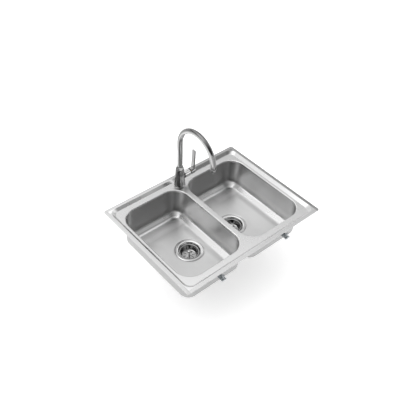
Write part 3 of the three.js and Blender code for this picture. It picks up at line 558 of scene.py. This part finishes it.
def basket(label, side):
    at = Vector((side * WASTE_X, WASTE_Y, WASTE_Z))
    floor_top = BASKET_FLOOR + BASKET_WALL
    profile = [
        (BASKET_RIM_R, BASKET_TOP), (BASKET_RIM_R, BASKET_TOP + BASKET_WALL),
        (BASKET_RIM_R - 3, BASKET_TOP + BASKET_WALL), (BASKET_RIM_R - 4.5, BASKET_TOP - 1),
        (BASKET_FLOOR_R, floor_top + 2), (BASKET_FLOOR_R - 3, floor_top),
        (POST_CLEAR_R, floor_top), (POST_CLEAR_R, BASKET_FLOOR),
        (BASKET_FLOOR_R - 2, BASKET_FLOOR), (BASKET_FLOOR_R + 1.3, BASKET_FLOOR + 2.4),
        (BASKET_RIM_R - 3.2, BASKET_TOP - BASKET_WALL),
    ]
    shell = turned(label + "_basket_shell", rounded(profile, BASKET_ROUND), (0, 0, 0))
    cutters = []
    middle = (BASKET_TOP + BASKET_FLOOR) / 2 + WALL_SLOT_LIFT
    for i in range(BASKET_SLOTS):
        turn = (i + 0.5) / BASKET_SLOTS * 2 * math.pi
        cutters.append(slot_cutter(FLOOR_SLOT, (FLOOR_SLOT_R, 0, BASKET_FLOOR), turn))
        cutters.append(slot_cutter(WALL_SLOT, (WALL_SLOT_R, 0, middle), turn, math.pi / 2))
    cut_or_join(shell, cutters, "DIFFERENCE")
    shell.location = at * MM
    return shade(shell, SHARP_TURNED)


# ------------------------------------------------------------------ tap
tap_base_low, tap_base_high = box_mm("tap_base_ring")
TAP_Y = (tap_base_low.y + tap_base_high.y) / 2
BARREL_Z = DECK_TOP + 46
SPOUT_R = 10.4
SPOUT_BORE_R = 8.8
SPOUT_FOOT = 67.5
RISER_STATIONS = (104, 160)
SPOUT_REACH = 188
SPOUT_HEIGHT = 315
SPOUT_DROP = 3
BEND_R = SPOUT_REACH / 2
BEND_Z = SPOUT_HEIGHT - SPOUT_R - BEND_R


def spout_tube():
    """The gooseneck as sections at (place, height, angle) stations: riser, half circle, drop."""
    stations = [(0, height, 0) for height in (SPOUT_FOOT, *RISER_STATIONS)]
    for i in range(SPOUT_STEPS + 1):
        angle = i / SPOUT_STEPS * math.pi
        stations.append((-BEND_R + BEND_R * math.cos(angle), BEND_Z + BEND_R * math.sin(angle),
                         angle))
    stations.append((-SPOUT_REACH, BEND_Z - SPOUT_DROP, math.pi))

    def section(radius):
        rings = []
        for y, z, angle in stations:
            ring = []
            for k in range(TUBE_ROUND):
                around = 2 * math.pi * k / TUBE_ROUND
                out = radius * math.cos(around)
                ring.append(Vector((radius * math.sin(around), TAP_Y + y + out * math.cos(angle),
                                    DECK_TOP + z + out * math.sin(angle))))
            rings.append(ring)
        return rings

    rings = section(SPOUT_R) + section(SPOUT_BORE_R)[::-1]
    return shade(loft("spout_tube", rings, (0, TAP_Y, DECK_TOP)), SHARP_SHEET)


TAP_BODY_R = 22
TAP_NECK_R = 16.4
TAP_BASE_TOP = 5
TAP_BODY_TOP = 84
BARREL_R = 15.5
BARREL_END = 46
CARTRIDGE_BORE = (12.5, 10, 50)  # each bore as (radius, start, end) on its own axis
SOCKET_BORE = (10.7, 66, 88)
SHANK_BORE = (16.3, 3, 14)
CASTING_ROUND = 1.5
BARREL_ROUND = 0.6


def bore(size, at, axis="z"):
    radius, start, end = size
    return turned("bore", [(0, start), (radius, start), (radius, end), (0, end)], at, axis)


def tap_casting():
    at = Vector((0, TAP_Y, DECK_TOP))
    side_at = at + Vector((0, 0, BARREL_Z - DECK_TOP))
    cone = [(0, TAP_BASE_TOP), (TAP_BODY_R, TAP_BASE_TOP), (TAP_BODY_R, TAP_BASE_TOP + 4),
            (TAP_NECK_R + 0.6, TAP_BODY_TOP - 8), (TAP_NECK_R, TAP_BODY_TOP), (0, TAP_BODY_TOP)]
    barrel = [(0, 0), (BARREL_R, 0), (BARREL_R, BARREL_END - 1), (BARREL_R - 1, BARREL_END),
              (0, BARREL_END)]
    body = turned("tap_casting", rounded(cone, CASTING_ROUND, closed=False), at)
    side_barrel = turned("barrel", rounded(barrel, BARREL_ROUND, closed=False), side_at, "x")
    bores = [bore(CARTRIDGE_BORE, side_at, "x"), bore(SOCKET_BORE, at), bore(SHANK_BORE, at)]
    cut_or_join(body, [side_barrel], "UNION")
    cut_or_join(body, bores, "DIFFERENCE")
    return shade(merge(body), SHARP_CUT)


HUB_START = 51.5
HUB_R = 14.5
HUB_END = 78
LEVER_TIP = 96
HUB_WALL_R = HUB_R - 1.9
HUB_ROUND = 0.8
STEM_BORE_R = 3.8
BLADE_IN = 11
LEVER_WIDTH = 19
LEVER_THICKNESS = 5
# The blade's sections as (thicker, wider, height above the barrel's axis, lean outward)
BLADE = ((4, 2, 5, 0), (3, 1, 16, 0.2), (1.6, 0.3, 23, 0.5), (0.8, 0, 30, 0.8), (0.4, 0, 50, 1.6),
         (0, 0, LEVER_TIP - 8, 3), (0, -0.2, LEVER_TIP - 4, 3), (-0.8, -1.2, LEVER_TIP - 1.2, 3.1),
         (-2.6, -4.4, LEVER_TIP, 3.2))
BLADE_CORNER = 0.45
BLADE_STEPS = 6


def lever():
    at = Vector((0, TAP_Y, BARREL_Z))
    hub = [(0, 64), (STEM_BORE_R, 64), (STEM_BORE_R, 57), (HUB_WALL_R, 57), (HUB_WALL_R, HUB_START),
           (HUB_R, HUB_START), (HUB_R, HUB_END - 12), (HUB_R - 1.3, HUB_END - 7),
           (HUB_R - 4.5, HUB_END - 3), (HUB_R - 9, HUB_END - 0.6), (0, HUB_END)]
    handle = turned("lever_with_hub", rounded(hub, HUB_ROUND, closed=False), at, "x")
    centre = HUB_END - BLADE_IN
    rings = []
    for thicker, wider, z, lean in BLADE:
        thick = LEVER_THICKNESS + thicker
        wide = LEVER_WIDTH + wider
        corner = thick * BLADE_CORNER
        ring = []
        for quarter_turn in range(4):
            sx = 1 if quarter_turn in (0, 3) else -1
            sy = 1 if quarter_turn < 2 else -1
            for i in range(BLADE_STEPS + 1):
                a = (quarter_turn + i / BLADE_STEPS) * math.pi / 2
                ring.append(Vector((
                    centre + lean + sx * (thick / 2 - corner) + corner * math.cos(a),
                    TAP_Y + sy * (wide / 2 - corner) + corner * math.sin(a),
                    BARREL_Z + z)))
        rings.append(ring)
    count = len(rings[0])
    points = [p for ring in rings for p in ring]
    faces = ring_faces(count, len(rings))
    faces += [list(range(count)), list(range(len(points) - count, len(points)))]
    blade = mesh_object("blade", points, faces, at)
    cut_or_join(handle, [blade], "UNION")
    return shade(merge(handle), SHARP_CUT)


# ------------------------------------------------------------------ materials
def new_material(name, color, metallic, roughness):
    material = bpy.data.materials.new(name)
    material.use_nodes = True
    shader = material.node_tree.nodes["Principled BSDF"]
    shader.inputs["Base Color"].default_value = (*color, 1)
    shader.inputs["Metallic"].default_value = metallic
    shader.inputs["Roughness"].default_value = roughness
    return material, shader


def node(material, kind, **settings):
    made = material.node_tree.nodes.new("ShaderNode" + kind)
    for key, value in settings.items():
        if key in made.inputs:
            made.inputs[key].default_value = value
        else:
            setattr(made, key, value)
    return made


def link(material, source, target):
    material.node_tree.links.new(source, target)


def noise(material, stretch, scale, detail=3.0):
    """Noise in the object's own space, stretched along its axes."""
    place = node(material, "TexCoord")
    mapping = node(material, "Mapping")
    mapping.inputs["Scale"].default_value = stretch
    texture = node(material, "TexNoise")
    texture.inputs["Scale"].default_value = scale
    texture.inputs["Detail"].default_value = detail
    link(material, place.outputs["Object"], mapping.inputs["Vector"])
    link(material, mapping.outputs["Vector"], texture.inputs["Vector"])
    return texture.outputs["Fac"]


def ramp(material, source, low, high, to=(0, 1), **settings):
    """Maps one span of values to another, which is 0 to 1 when none is given."""
    made = node(material, "MapRange", **settings)
    for key, value in (("From Min", low), ("From Max", high), ("To Min", to[0]), ("To Max", to[1])):
        made.inputs[key].default_value = value
    link(material, source, made.inputs["Value"])
    return made.outputs["Result"]


def math_node(material, operation, *sources):
    """A sum, product or the like of sockets and plain numbers."""
    made = node(material, "Math", operation=operation)
    for socket, source in zip(made.inputs, sources):
        if isinstance(source, bpy.types.NodeSocket):
            link(material, source, socket)
        else:
            socket.default_value = source
    return made.outputs["Value"]


def mixed(material, share, color):
    """A mix node that a share takes over to a colour: its first colour input and its output."""
    mix = node(material, "Mix", data_type="RGBA")
    first, second = [i for i in mix.inputs if i.type == "RGBA"][:2]
    second.default_value = (*color, 1)
    link(material, share, mix.inputs["Factor"])
    return first, [o for o in mix.outputs if o.type == "RGBA"][0]


def relief(material, source, shader, strength, distance):
    bump = node(material, "Bump")
    bump.inputs["Strength"].default_value = strength
    bump.inputs["Distance"].default_value = distance * MM
    link(material, source, bump.inputs["Height"])
    link(material, bump.outputs["Normal"], shader.inputs["Normal"])


NOISE_SPAN = (0.3, 0.7)
BROAD_SCALE = 14
BROAD_DETAIL = 2.0


def surfaced(name, dark, light, metallic, rough, grain, scale, strength, distance):
    """A finish with its own grain: colour, roughness and relief all follow one noise each."""
    material, shader = new_material(name, dark, metallic, rough[0])
    fine = noise(material, grain, scale)
    broad = noise(material, (1, 1, 1), BROAD_SCALE, BROAD_DETAIL)
    first, colour = mixed(material, fine, light)
    first.default_value = (*dark, 1)
    link(material, colour, shader.inputs["Base Color"])
    link(material, ramp(material, broad, *NOISE_SPAN, rough), shader.inputs["Roughness"])
    relief(material, fine, shader, strength, distance)
    return material


def shader_input(material, key):
    """One of the shader's inputs, and the socket that feeds it so far."""
    target = material.node_tree.nodes["Principled BSDF"].inputs[key]
    return target, target.links[0].from_socket


def recolour(material, share, color):
    """Takes the colour over to another one by a share."""
    target, own = shader_input(material, "Base Color")
    first, colour = mixed(material, share, color)
    link(material, own, first)
    link(material, colour, target)


def along_axis(material, axis, low, high, repeat=0):
    """A share that rises between two places on one of the piece's own axes, once per repeat."""
    split = node(material, "SeparateXYZ")
    link(material, node(material, "TexCoord").outputs["Object"], split.inputs["Vector"])
    place = split.outputs[axis]
    if repeat:
        place = math_node(material, "FLOORED_MODULO", place, repeat * MM)
    return ramp(material, place, low * MM, high * MM)


def changes(material, color, *limits):
    """Takes the colour over to another one where every (axis, from, to, repeat) share is up."""
    share = along_axis(material, *limits[0])
    for limit in limits[1:]:
        share = math_node(material, "MULTIPLY", share, along_axis(material, *limit))
    recolour(material, share, color)


def changes_roughness(material, low, high, change):
    """Adds to the roughness above a height."""
    split = node(material, "SeparateXYZ")
    link(material, node(material, "TexCoord").outputs["Object"], split.inputs["Vector"])
    extra = ramp(material, split.outputs["Z"], low * MM, high * MM, (0, change),
                 interpolation_type="SMOOTHSTEP")
    target, own = shader_input(material, "Roughness")
    link(material, math_node(material, "ADD", own, extra), target)


def vector_node(material, operation, source, *others):
    made = node(material, "VectorMath", operation=operation)
    link(material, source, made.inputs[0])
    for socket, value in zip(made.inputs[1:], others):
        socket.default_value = value
    return made


def changes_off_line(material, centre, low, high, color):
    """Takes the colour over with the distance from a line along X through a centre."""
    place = node(material, "TexCoord").outputs["Object"]
    shift = vector_node(material, "SUBTRACT", place, [c * MM for c in centre])
    flat = vector_node(material, "MULTIPLY", shift.outputs["Vector"], (0, 1, 1))
    length = vector_node(material, "LENGTH", flat.outputs["Vector"])
    recolour(material, ramp(material, length.outputs["Value"], low * MM, high * MM), color)


def changes_outside(material, centre, repeat, color):
    """Takes the colour over on the faces that look away from the piece's own middle."""
    place = node(material, "TexCoord")
    again = vector_node(material, "WRAP", place.outputs["Object"],
                        (repeat * MM, 10, 10), (0, -10, -10))
    shift = vector_node(material, "SUBTRACT", again.outputs["Vector"], [c * MM for c in centre])
    unit = vector_node(material, "NORMALIZE", shift.outputs["Vector"])
    facing = vector_node(material, "DOT_PRODUCT", unit.outputs["Vector"])
    link(material, place.outputs["Normal"], facing.inputs[1])
    recolour(material, ramp(material, facing.outputs["Value"], 0, FACING_SOFT), color)


def grey(value, warm=0.0):
    return (value + warm, value, value - warm)


EVEN = (1, 1, 1)
CHROME_GRAIN = (EVEN, 300, 0.01, 0.01)
POLISHED_GRAIN = (EVEN, 600, 0.06, 0.01)
FACING_SOFT = 0.1
# Each finish: colours, metal, roughness, then the grain's stretch, scale, strength and depth
DECK_STEEL = surfaced("brushed_steel_deck", grey(0.61), grey(0.63), 1, (0.26, 0.3),
                      (0.04, 1, 1), 160, 0.01, 0.001)
BOWL_STEEL = surfaced("brushed_steel_bowl", grey(0.57), grey(0.59), 1, (0.32, 0.38),
                      (1, 0.04, 1), 160, 0.02, 0.001)
POLISHED = surfaced("polished_steel", grey(0.5), grey(0.56), 1, (0.1, 0.16), *POLISHED_GRAIN)
# The strainer cup and basket: a darker copy of the polished steel, painted shade down in the waste
SHADED_POLISHED = surfaced("polished_steel_strainer_shaded", grey(0.34), grey(0.4), 1, (0.08, 0.13),
                         *POLISHED_GRAIN)
# The tap's own copies of the chrome carry the painted light and shade below; the body's copy is
# much darker than the rest all over, painted shade, and the spout's copy lighter, painted light
SHADED_CHROME = surfaced("chrome_plate_body_shaded", grey(0.13), grey(0.15), 1, (0.05, 0.09), *CHROME_GRAIN)
LEVER_CHROME = surfaced("chrome_plate_lever", grey(0.4), grey(0.44), 1, (0.03, 0.07), *CHROME_GRAIN)
SPOUT_CHROME = surfaced("chrome_plate_spout", grey(0.5), grey(0.54), 1, (0.04, 0.07), *CHROME_GRAIN)
CHROME = surfaced("chrome_plate", grey(0.4), grey(0.44), 1, (0.03, 0.07), *CHROME_GRAIN)
ZINC = surfaced("zinc_plate", (0.42, 0.44, 0.46), (0.55, 0.57, 0.58), 0.95, (0.34, 0.5),
                EVEN, 260, 0.15, 0.03)
BRASS = surfaced("machined_brass", (0.52, 0.36, 0.13), (0.66, 0.48, 0.2), 0.95, (0.25, 0.38),
                 (1, 1, 6), 300, 0.12, 0.03)
RUBBER = surfaced("black_rubber", grey(0.012), grey(0.03), 0, (0.7, 0.85), EVEN, 700, 0.25, 0.05)
NYLON_WHITE = surfaced("white_nylon", grey(0.72), grey(0.8, 0.01), 0, (0.42, 0.55),
                       EVEN, 400, 0.1, 0.03)
NYLON_GREY = surfaced("grey_nylon", grey(0.22), grey(0.29), 0, (0.42, 0.55), EVEN, 400, 0.12, 0.03)
FIBRE = surfaced("pressed_fibre", (0.36, 0.25, 0.14), (0.5, 0.38, 0.24), 0, (0.8, 0.92),
                 EVEN, 900, 0.3, 0.05)

# Changes of tone over each piece, mostly painted light and shade, in millimetres on its own axes.
# In a bowl, X starts again at each bowl, and the heights count from the floor.
BOWL_PITCH = 2 * BOWL_CENTRE_X


def across(low, high):
    return "X", low, high, BOWL_PITCH


def above(low, high):
    return "Z", FLOOR_Z + low, FLOOR_Z + high


changes_roughness(BOWL_STEEL, FLOOR_Z + 1, FLOOR_Z + 5, -0.07)
changes_roughness(BOWL_STEEL, FLOOR_Z + 11, FLOOR_Z + 17, 0.06)
# Painted light and shade on the floor, foot and wall towards the right, and then towards the back:
# lighter on the right wall, darker on the back wall
changes(BOWL_STEEL, grey(0.52), across(190, 245))
changes(BOWL_STEEL, grey(0.6), across(254, 262))
changes(BOWL_STEEL, grey(0.68), across(278, 284))
changes(BOWL_STEEL, grey(0.68), ("Y", 110, 160))
changes(BOWL_STEEL, grey(0.57), ("Y", 166, 174))
changes(BOWL_STEEL, grey(0.45), ("Y", 184, 196))
# Painted light on the right wall, painted shade in the back right corner, a painted highlight at
# the low end of the right wall, and painted shade on the floor beside the right foot
changes(BOWL_STEEL, grey(0.88), across(276, 284), ("Y", -60, 40), ("Y", 158, 130))
changes(BOWL_STEEL, grey(0.25), across(256, 266), ("Y", 158, 174))
changes(BOWL_STEEL, grey(0.95), across(276, 281), above(15, 18), above(60, 26), ("Y", 140, 120))
changes(BOWL_STEEL, grey(0.42), across(232, 246), across(267, 260), ("Y", 110, 90))
# Painted light on the floor and slope along the back: the left bowl, and the right half of the
# right bowl
for part in (("X", -5, -15), ("X", 150, 190)):
    changes(BOWL_STEEL, grey(0.92), ("Y", 118, 138), ("Y", 176, 168), part, above(14, 8))
    changes(BOWL_STEEL, grey(0.8), ("Y", 179, 182), ("Y", 191, 188), part, above(20, 16))
# Painted shade on the back right corner of the foot
changes(BOWL_STEEL, grey(0.44), across(228, 240), across(284, 280), ("Y", 158, 168), above(24, 20))
# The bowls' outside faces take one darker steel tone over all of the above
changes_outside(BOWL_STEEL, (BOWL_PITCH / 2, 0, FLOOR_Z / 2), BOWL_PITCH, grey(0.42))
# Painted light on the front rim, then slight painted shade on the deck from front to back
changes(DECK_STEEL, grey(0.72), ("Y", -239, -236))
changes(DECK_STEEL, grey(0.6), ("Y", -235, 0))
# Painted shade on the back step and back rim on the right, painted light on the back step on the
# left, and painted shade on the left rim and right rim
changes(DECK_STEEL, grey(0.3), ("Y", 220, 226), ("X", -40, 60))
changes(DECK_STEEL, grey(0.43), ("Y", 235, 239), ("X", 0, 40))
changes(DECK_STEEL, grey(0.82), ("Y", 222, 226), ("Y", 239, 235), ("X", 10, -30))
changes(DECK_STEEL, grey(0.52), ("X", -311, -313))
changes(DECK_STEEL, grey(0.43), ("X", 311, 313))
# A painted highlight streaking down the tap's front, and painted light on the side barrel
changes(SHADED_CHROME, grey(0.36), ("X", -12, -8))
changes(SHADED_CHROME, grey(0.85), ("X", -12, -8), ("Z", 62, 54))
changes(SHADED_CHROME, grey(0.14), ("X", 5, 9))
changes(SHADED_CHROME, grey(0.72), ("X", 18, 22))
# Painted shade on the outer side of the gooseneck, its riser back to an even tone, and painted
# shade on the lever's blade
changes_off_line(SPOUT_CHROME, (0, -BEND_R - 4, BEND_Z), BEND_R + 1, BEND_R + 6, grey(0.18))
changes(SPOUT_CHROME, grey(0.52), ("Z", 205, 175))
changes(LEVER_CHROME, grey(0.32), ("Z", 20, 45))
FINISHES = {
    "brushed_steel": DECK_STEEL, "polished_steel": POLISHED, "chrome": CHROME, "zinc_plate": ZINC,
    "brass": BRASS, "black_rubber": RUBBER, "white_nylon": NYLON_WHITE, "grey_nylon": NYLON_GREY,
    "fibre": FIBRE,
}
NODE_SLOT = {part["node"]: part["material_slot"] for part in frame["record"]["subparts"]}
NODE_BODY = {name: body for body, names in frame["record"]["behaviour"]["bodies"].items()
             for name in names}


def dress(obj, node_name, material=None):
    """The piece takes the node's place, body and finish."""
    slot = NODE_SLOT[node_name]
    obj.data.materials.clear()
    obj.data.materials.append(material or FINISHES[slot])
    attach(obj, NODE_BODY[node_name])
    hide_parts(node_name)
    return obj


dress(deck_sheet(), "sink_deck")
for label, side in SIDES:
    dress(bowl(label, side), label + "_bowl", BOWL_STEEL)
    dress(basket(label, side), label + "_basket", SHADED_POLISHED)
    dress(turned_again(label + "_strainer_cup"), label + "_strainer_cup", SHADED_POLISHED)
    for part in ("strainer_flange", "basket_post", "basket_stopper", "waste_gasket", "fibre_washer",
                 "tail_washer", "tailpiece"):
        dress(turned_again(f"{label}_{part}"), f"{label}_{part}")
dress(spout_tube(), "tap_spout", SPOUT_CHROME)
dress(tap_casting(), "tap_body", SHADED_CHROME)
dress(lever(), "lever_handle", LEVER_CHROME)
dress(turned_again("spout_collar"), "spout_collar", SHADED_CHROME)
for name in ("tap_gasket", "tap_base_ring", "spout_glide_ring", "aerator_housing", "tap_shank",
             "tap_rubber_washer", "tap_steel_washer", "hot_inlet", "cold_inlet"):
    dress(turned_again(name), name)
for name in ("cartridge", "cartridge_nut"):
    dress(turned_again(name, "x"), name)
for row in ("front", "back"):
    for hand in ("left", "right"):
        name = f"{row}_{hand}_clip_screw"
        dress(turned_again(name, segments=SCREW_ROUND), name)

for name, obj in NODES.items():
    if obj.hide_render:
        continue
    obj.data.materials.clear()
    obj.data.materials.append(FINISHES[NODE_SLOT[name]])
    bevel(obj)

# ------------------------------------------------------------------ camera
FOCAL_PIXELS = 576.3
FRAME_PIXELS = 400
SENSOR = 36.0
CAMERA_PITCH = math.radians(43.0)
CAMERA_YAW = math.radians(42.0)
CAMERA_ROLL = math.radians(2.5)
CAMERA_TARGET = Vector((0.0020, 0.0755, 0.0))
CAMERA_DISTANCE = 2.221


def photo_camera():
    data = bpy.data.cameras.new("photo_camera")
    data.sensor_width = SENSOR
    data.lens = FOCAL_PIXELS / FRAME_PIXELS * SENSOR
    camera = bpy.data.objects.new("photo_camera", data)
    forward = Vector((math.sin(CAMERA_YAW) * math.cos(CAMERA_PITCH),
                      math.cos(CAMERA_YAW) * math.cos(CAMERA_PITCH), -math.sin(CAMERA_PITCH)))
    level = Vector((math.cos(CAMERA_YAW), -math.sin(CAMERA_YAW), 0))
    upright = level.cross(forward)
    right = level * math.cos(CAMERA_ROLL) + upright * math.sin(CAMERA_ROLL)
    up = upright * math.cos(CAMERA_ROLL) - level * math.sin(CAMERA_ROLL)
    matrix = Matrix((right, up, -forward)).transposed().to_4x4()
    matrix.translation = CAMERA_TARGET - forward * CAMERA_DISTANCE
    camera.matrix_world = matrix
    bpy.context.scene.collection.objects.link(camera)
    bpy.context.scene.camera = camera


# ------------------------------------------------------------------ floor and light
# Soft lights in the sky: (azimuth from the back towards the right, elevation, strength), in degrees
SKY_LEVEL = 0.12
LIGHT_HALF_ANGLE = 28
LIGHTS = [
    (0, 30, 0.55), (30, 30, 0.67), (90, 30, 0.52), (120, 30, 0.56), (270, 30, 0.69),
    (300, 30, 0.38),
    (0, 50, 0.59), (36, 50, 0.28), (72, 50, 0.31), (108, 50, 0.36), (252, 50, 0.41),
    (288, 50, 0.95), (324, 50, 0.66),
    (0, 70, 0.65), (60, 70, 0.57), (120, 70, 0.36), (180, 70, 0.32), (240, 70, 0.5),
    (300, 70, 0.83),
    (0, 90, 0.35),
]
FLOOR_SIZE = 80.0
FLOOR_GAP = 0.0003
FLOOR_GREY = 0.85
FLOOR_ROUGHNESS = 0.9
FLOOR_GLOW = 0.45       # what camera, glossy and transmission rays see
FLOOR_GLOW_SHARE = 0.5  # the share of it that all other rays see
BACKDROP_HEIGHT = 12.5
BACKDROP_REACH = 0.95
BACKDROP_SIDES = 64


def studio_world():
    world = bpy.data.worlds.new("studio")
    bpy.context.scene.world = world
    world.use_nodes = True
    tree = world.node_tree
    tree.nodes.clear()
    place = tree.nodes.new("ShaderNodeTexCoord")
    total = None
    for azimuth, elevation, strength in LIGHTS:
        a, e = math.radians(azimuth), math.radians(elevation)
        dot = tree.nodes.new("ShaderNodeVectorMath")
        dot.operation = "DOT_PRODUCT"
        dot.inputs[1].default_value = (
            math.sin(a) * math.cos(e), math.cos(a) * math.cos(e), math.sin(e))
        grade = tree.nodes.new("ShaderNodeMapRange")
        grade.interpolation_type = "SMOOTHSTEP"
        grade.inputs["From Min"].default_value = math.cos(math.radians(LIGHT_HALF_ANGLE))
        grade.inputs["To Max"].default_value = strength
        tree.links.new(place.outputs["Generated"], dot.inputs[0])
        tree.links.new(dot.outputs["Value"], grade.inputs["Value"])
        add = tree.nodes.new("ShaderNodeMath")
        add.operation = "ADD"
        add.inputs[0].default_value = SKY_LEVEL
        if total:
            tree.links.new(total, add.inputs[0])
        tree.links.new(grade.outputs["Result"], add.inputs[1])
        total = add.outputs["Value"]
    sky = tree.nodes.new("ShaderNodeBackground")
    out = tree.nodes.new("ShaderNodeOutputWorld")
    tree.links.new(total, sky.inputs["Strength"])
    tree.links.new(sky.outputs["Background"], out.inputs["Surface"])
    sky.inputs["Color"].default_value = (1, 1, 1, 1)


def studio_floor():
    """A wide pale floor, and the same paint on a round backdrop far behind it."""
    material, shader = new_material("floor", grey(FLOOR_GREY), 0, FLOOR_ROUGHNESS)
    rays = node(material, "LightPath").outputs
    seen = FLOOR_GLOW_SHARE
    for kind in ("Is Camera Ray", "Is Glossy Ray", "Is Transmission Ray"):
        seen = math_node(material, "MAXIMUM", rays[kind], seen)
    glow = math_node(material, "MULTIPLY", seen, FLOOR_GLOW)
    shader.inputs["Emission Color"].default_value = (1, 1, 1, 1)
    link(material, glow, shader.inputs["Emission Strength"])
    level = CAD_BOX[0].z - FLOOR_GAP
    half = FLOOR_SIZE / 2
    floor = [(x, y, level) for x, y in ((-half, -half), (half, -half), (half, half), (-half, half))]
    radius = half * BACKDROP_REACH
    angles = [2 * math.pi * k / BACKDROP_SIDES for k in range(BACKDROP_SIDES)]
    wall = [(radius * math.cos(angle), radius * math.sin(angle), level + z)
            for z in (0, BACKDROP_HEIGHT) for angle in angles]
    for name, points, faces in (("floor", floor, [(0, 1, 2, 3)]),
                                ("backdrop", wall, ring_faces(BACKDROP_SIDES, 2))):
        mesh = bpy.data.meshes.new(name)
        mesh.from_pydata(points, [], faces)
        mesh.materials.append(material)
        obj = bpy.data.objects.new(name, mesh)
        bpy.context.scene.collection.objects.link(obj)


photo_camera()
studio_world()
studio_floor()
bpy.context.scene.view_settings.view_transform = "Standard"
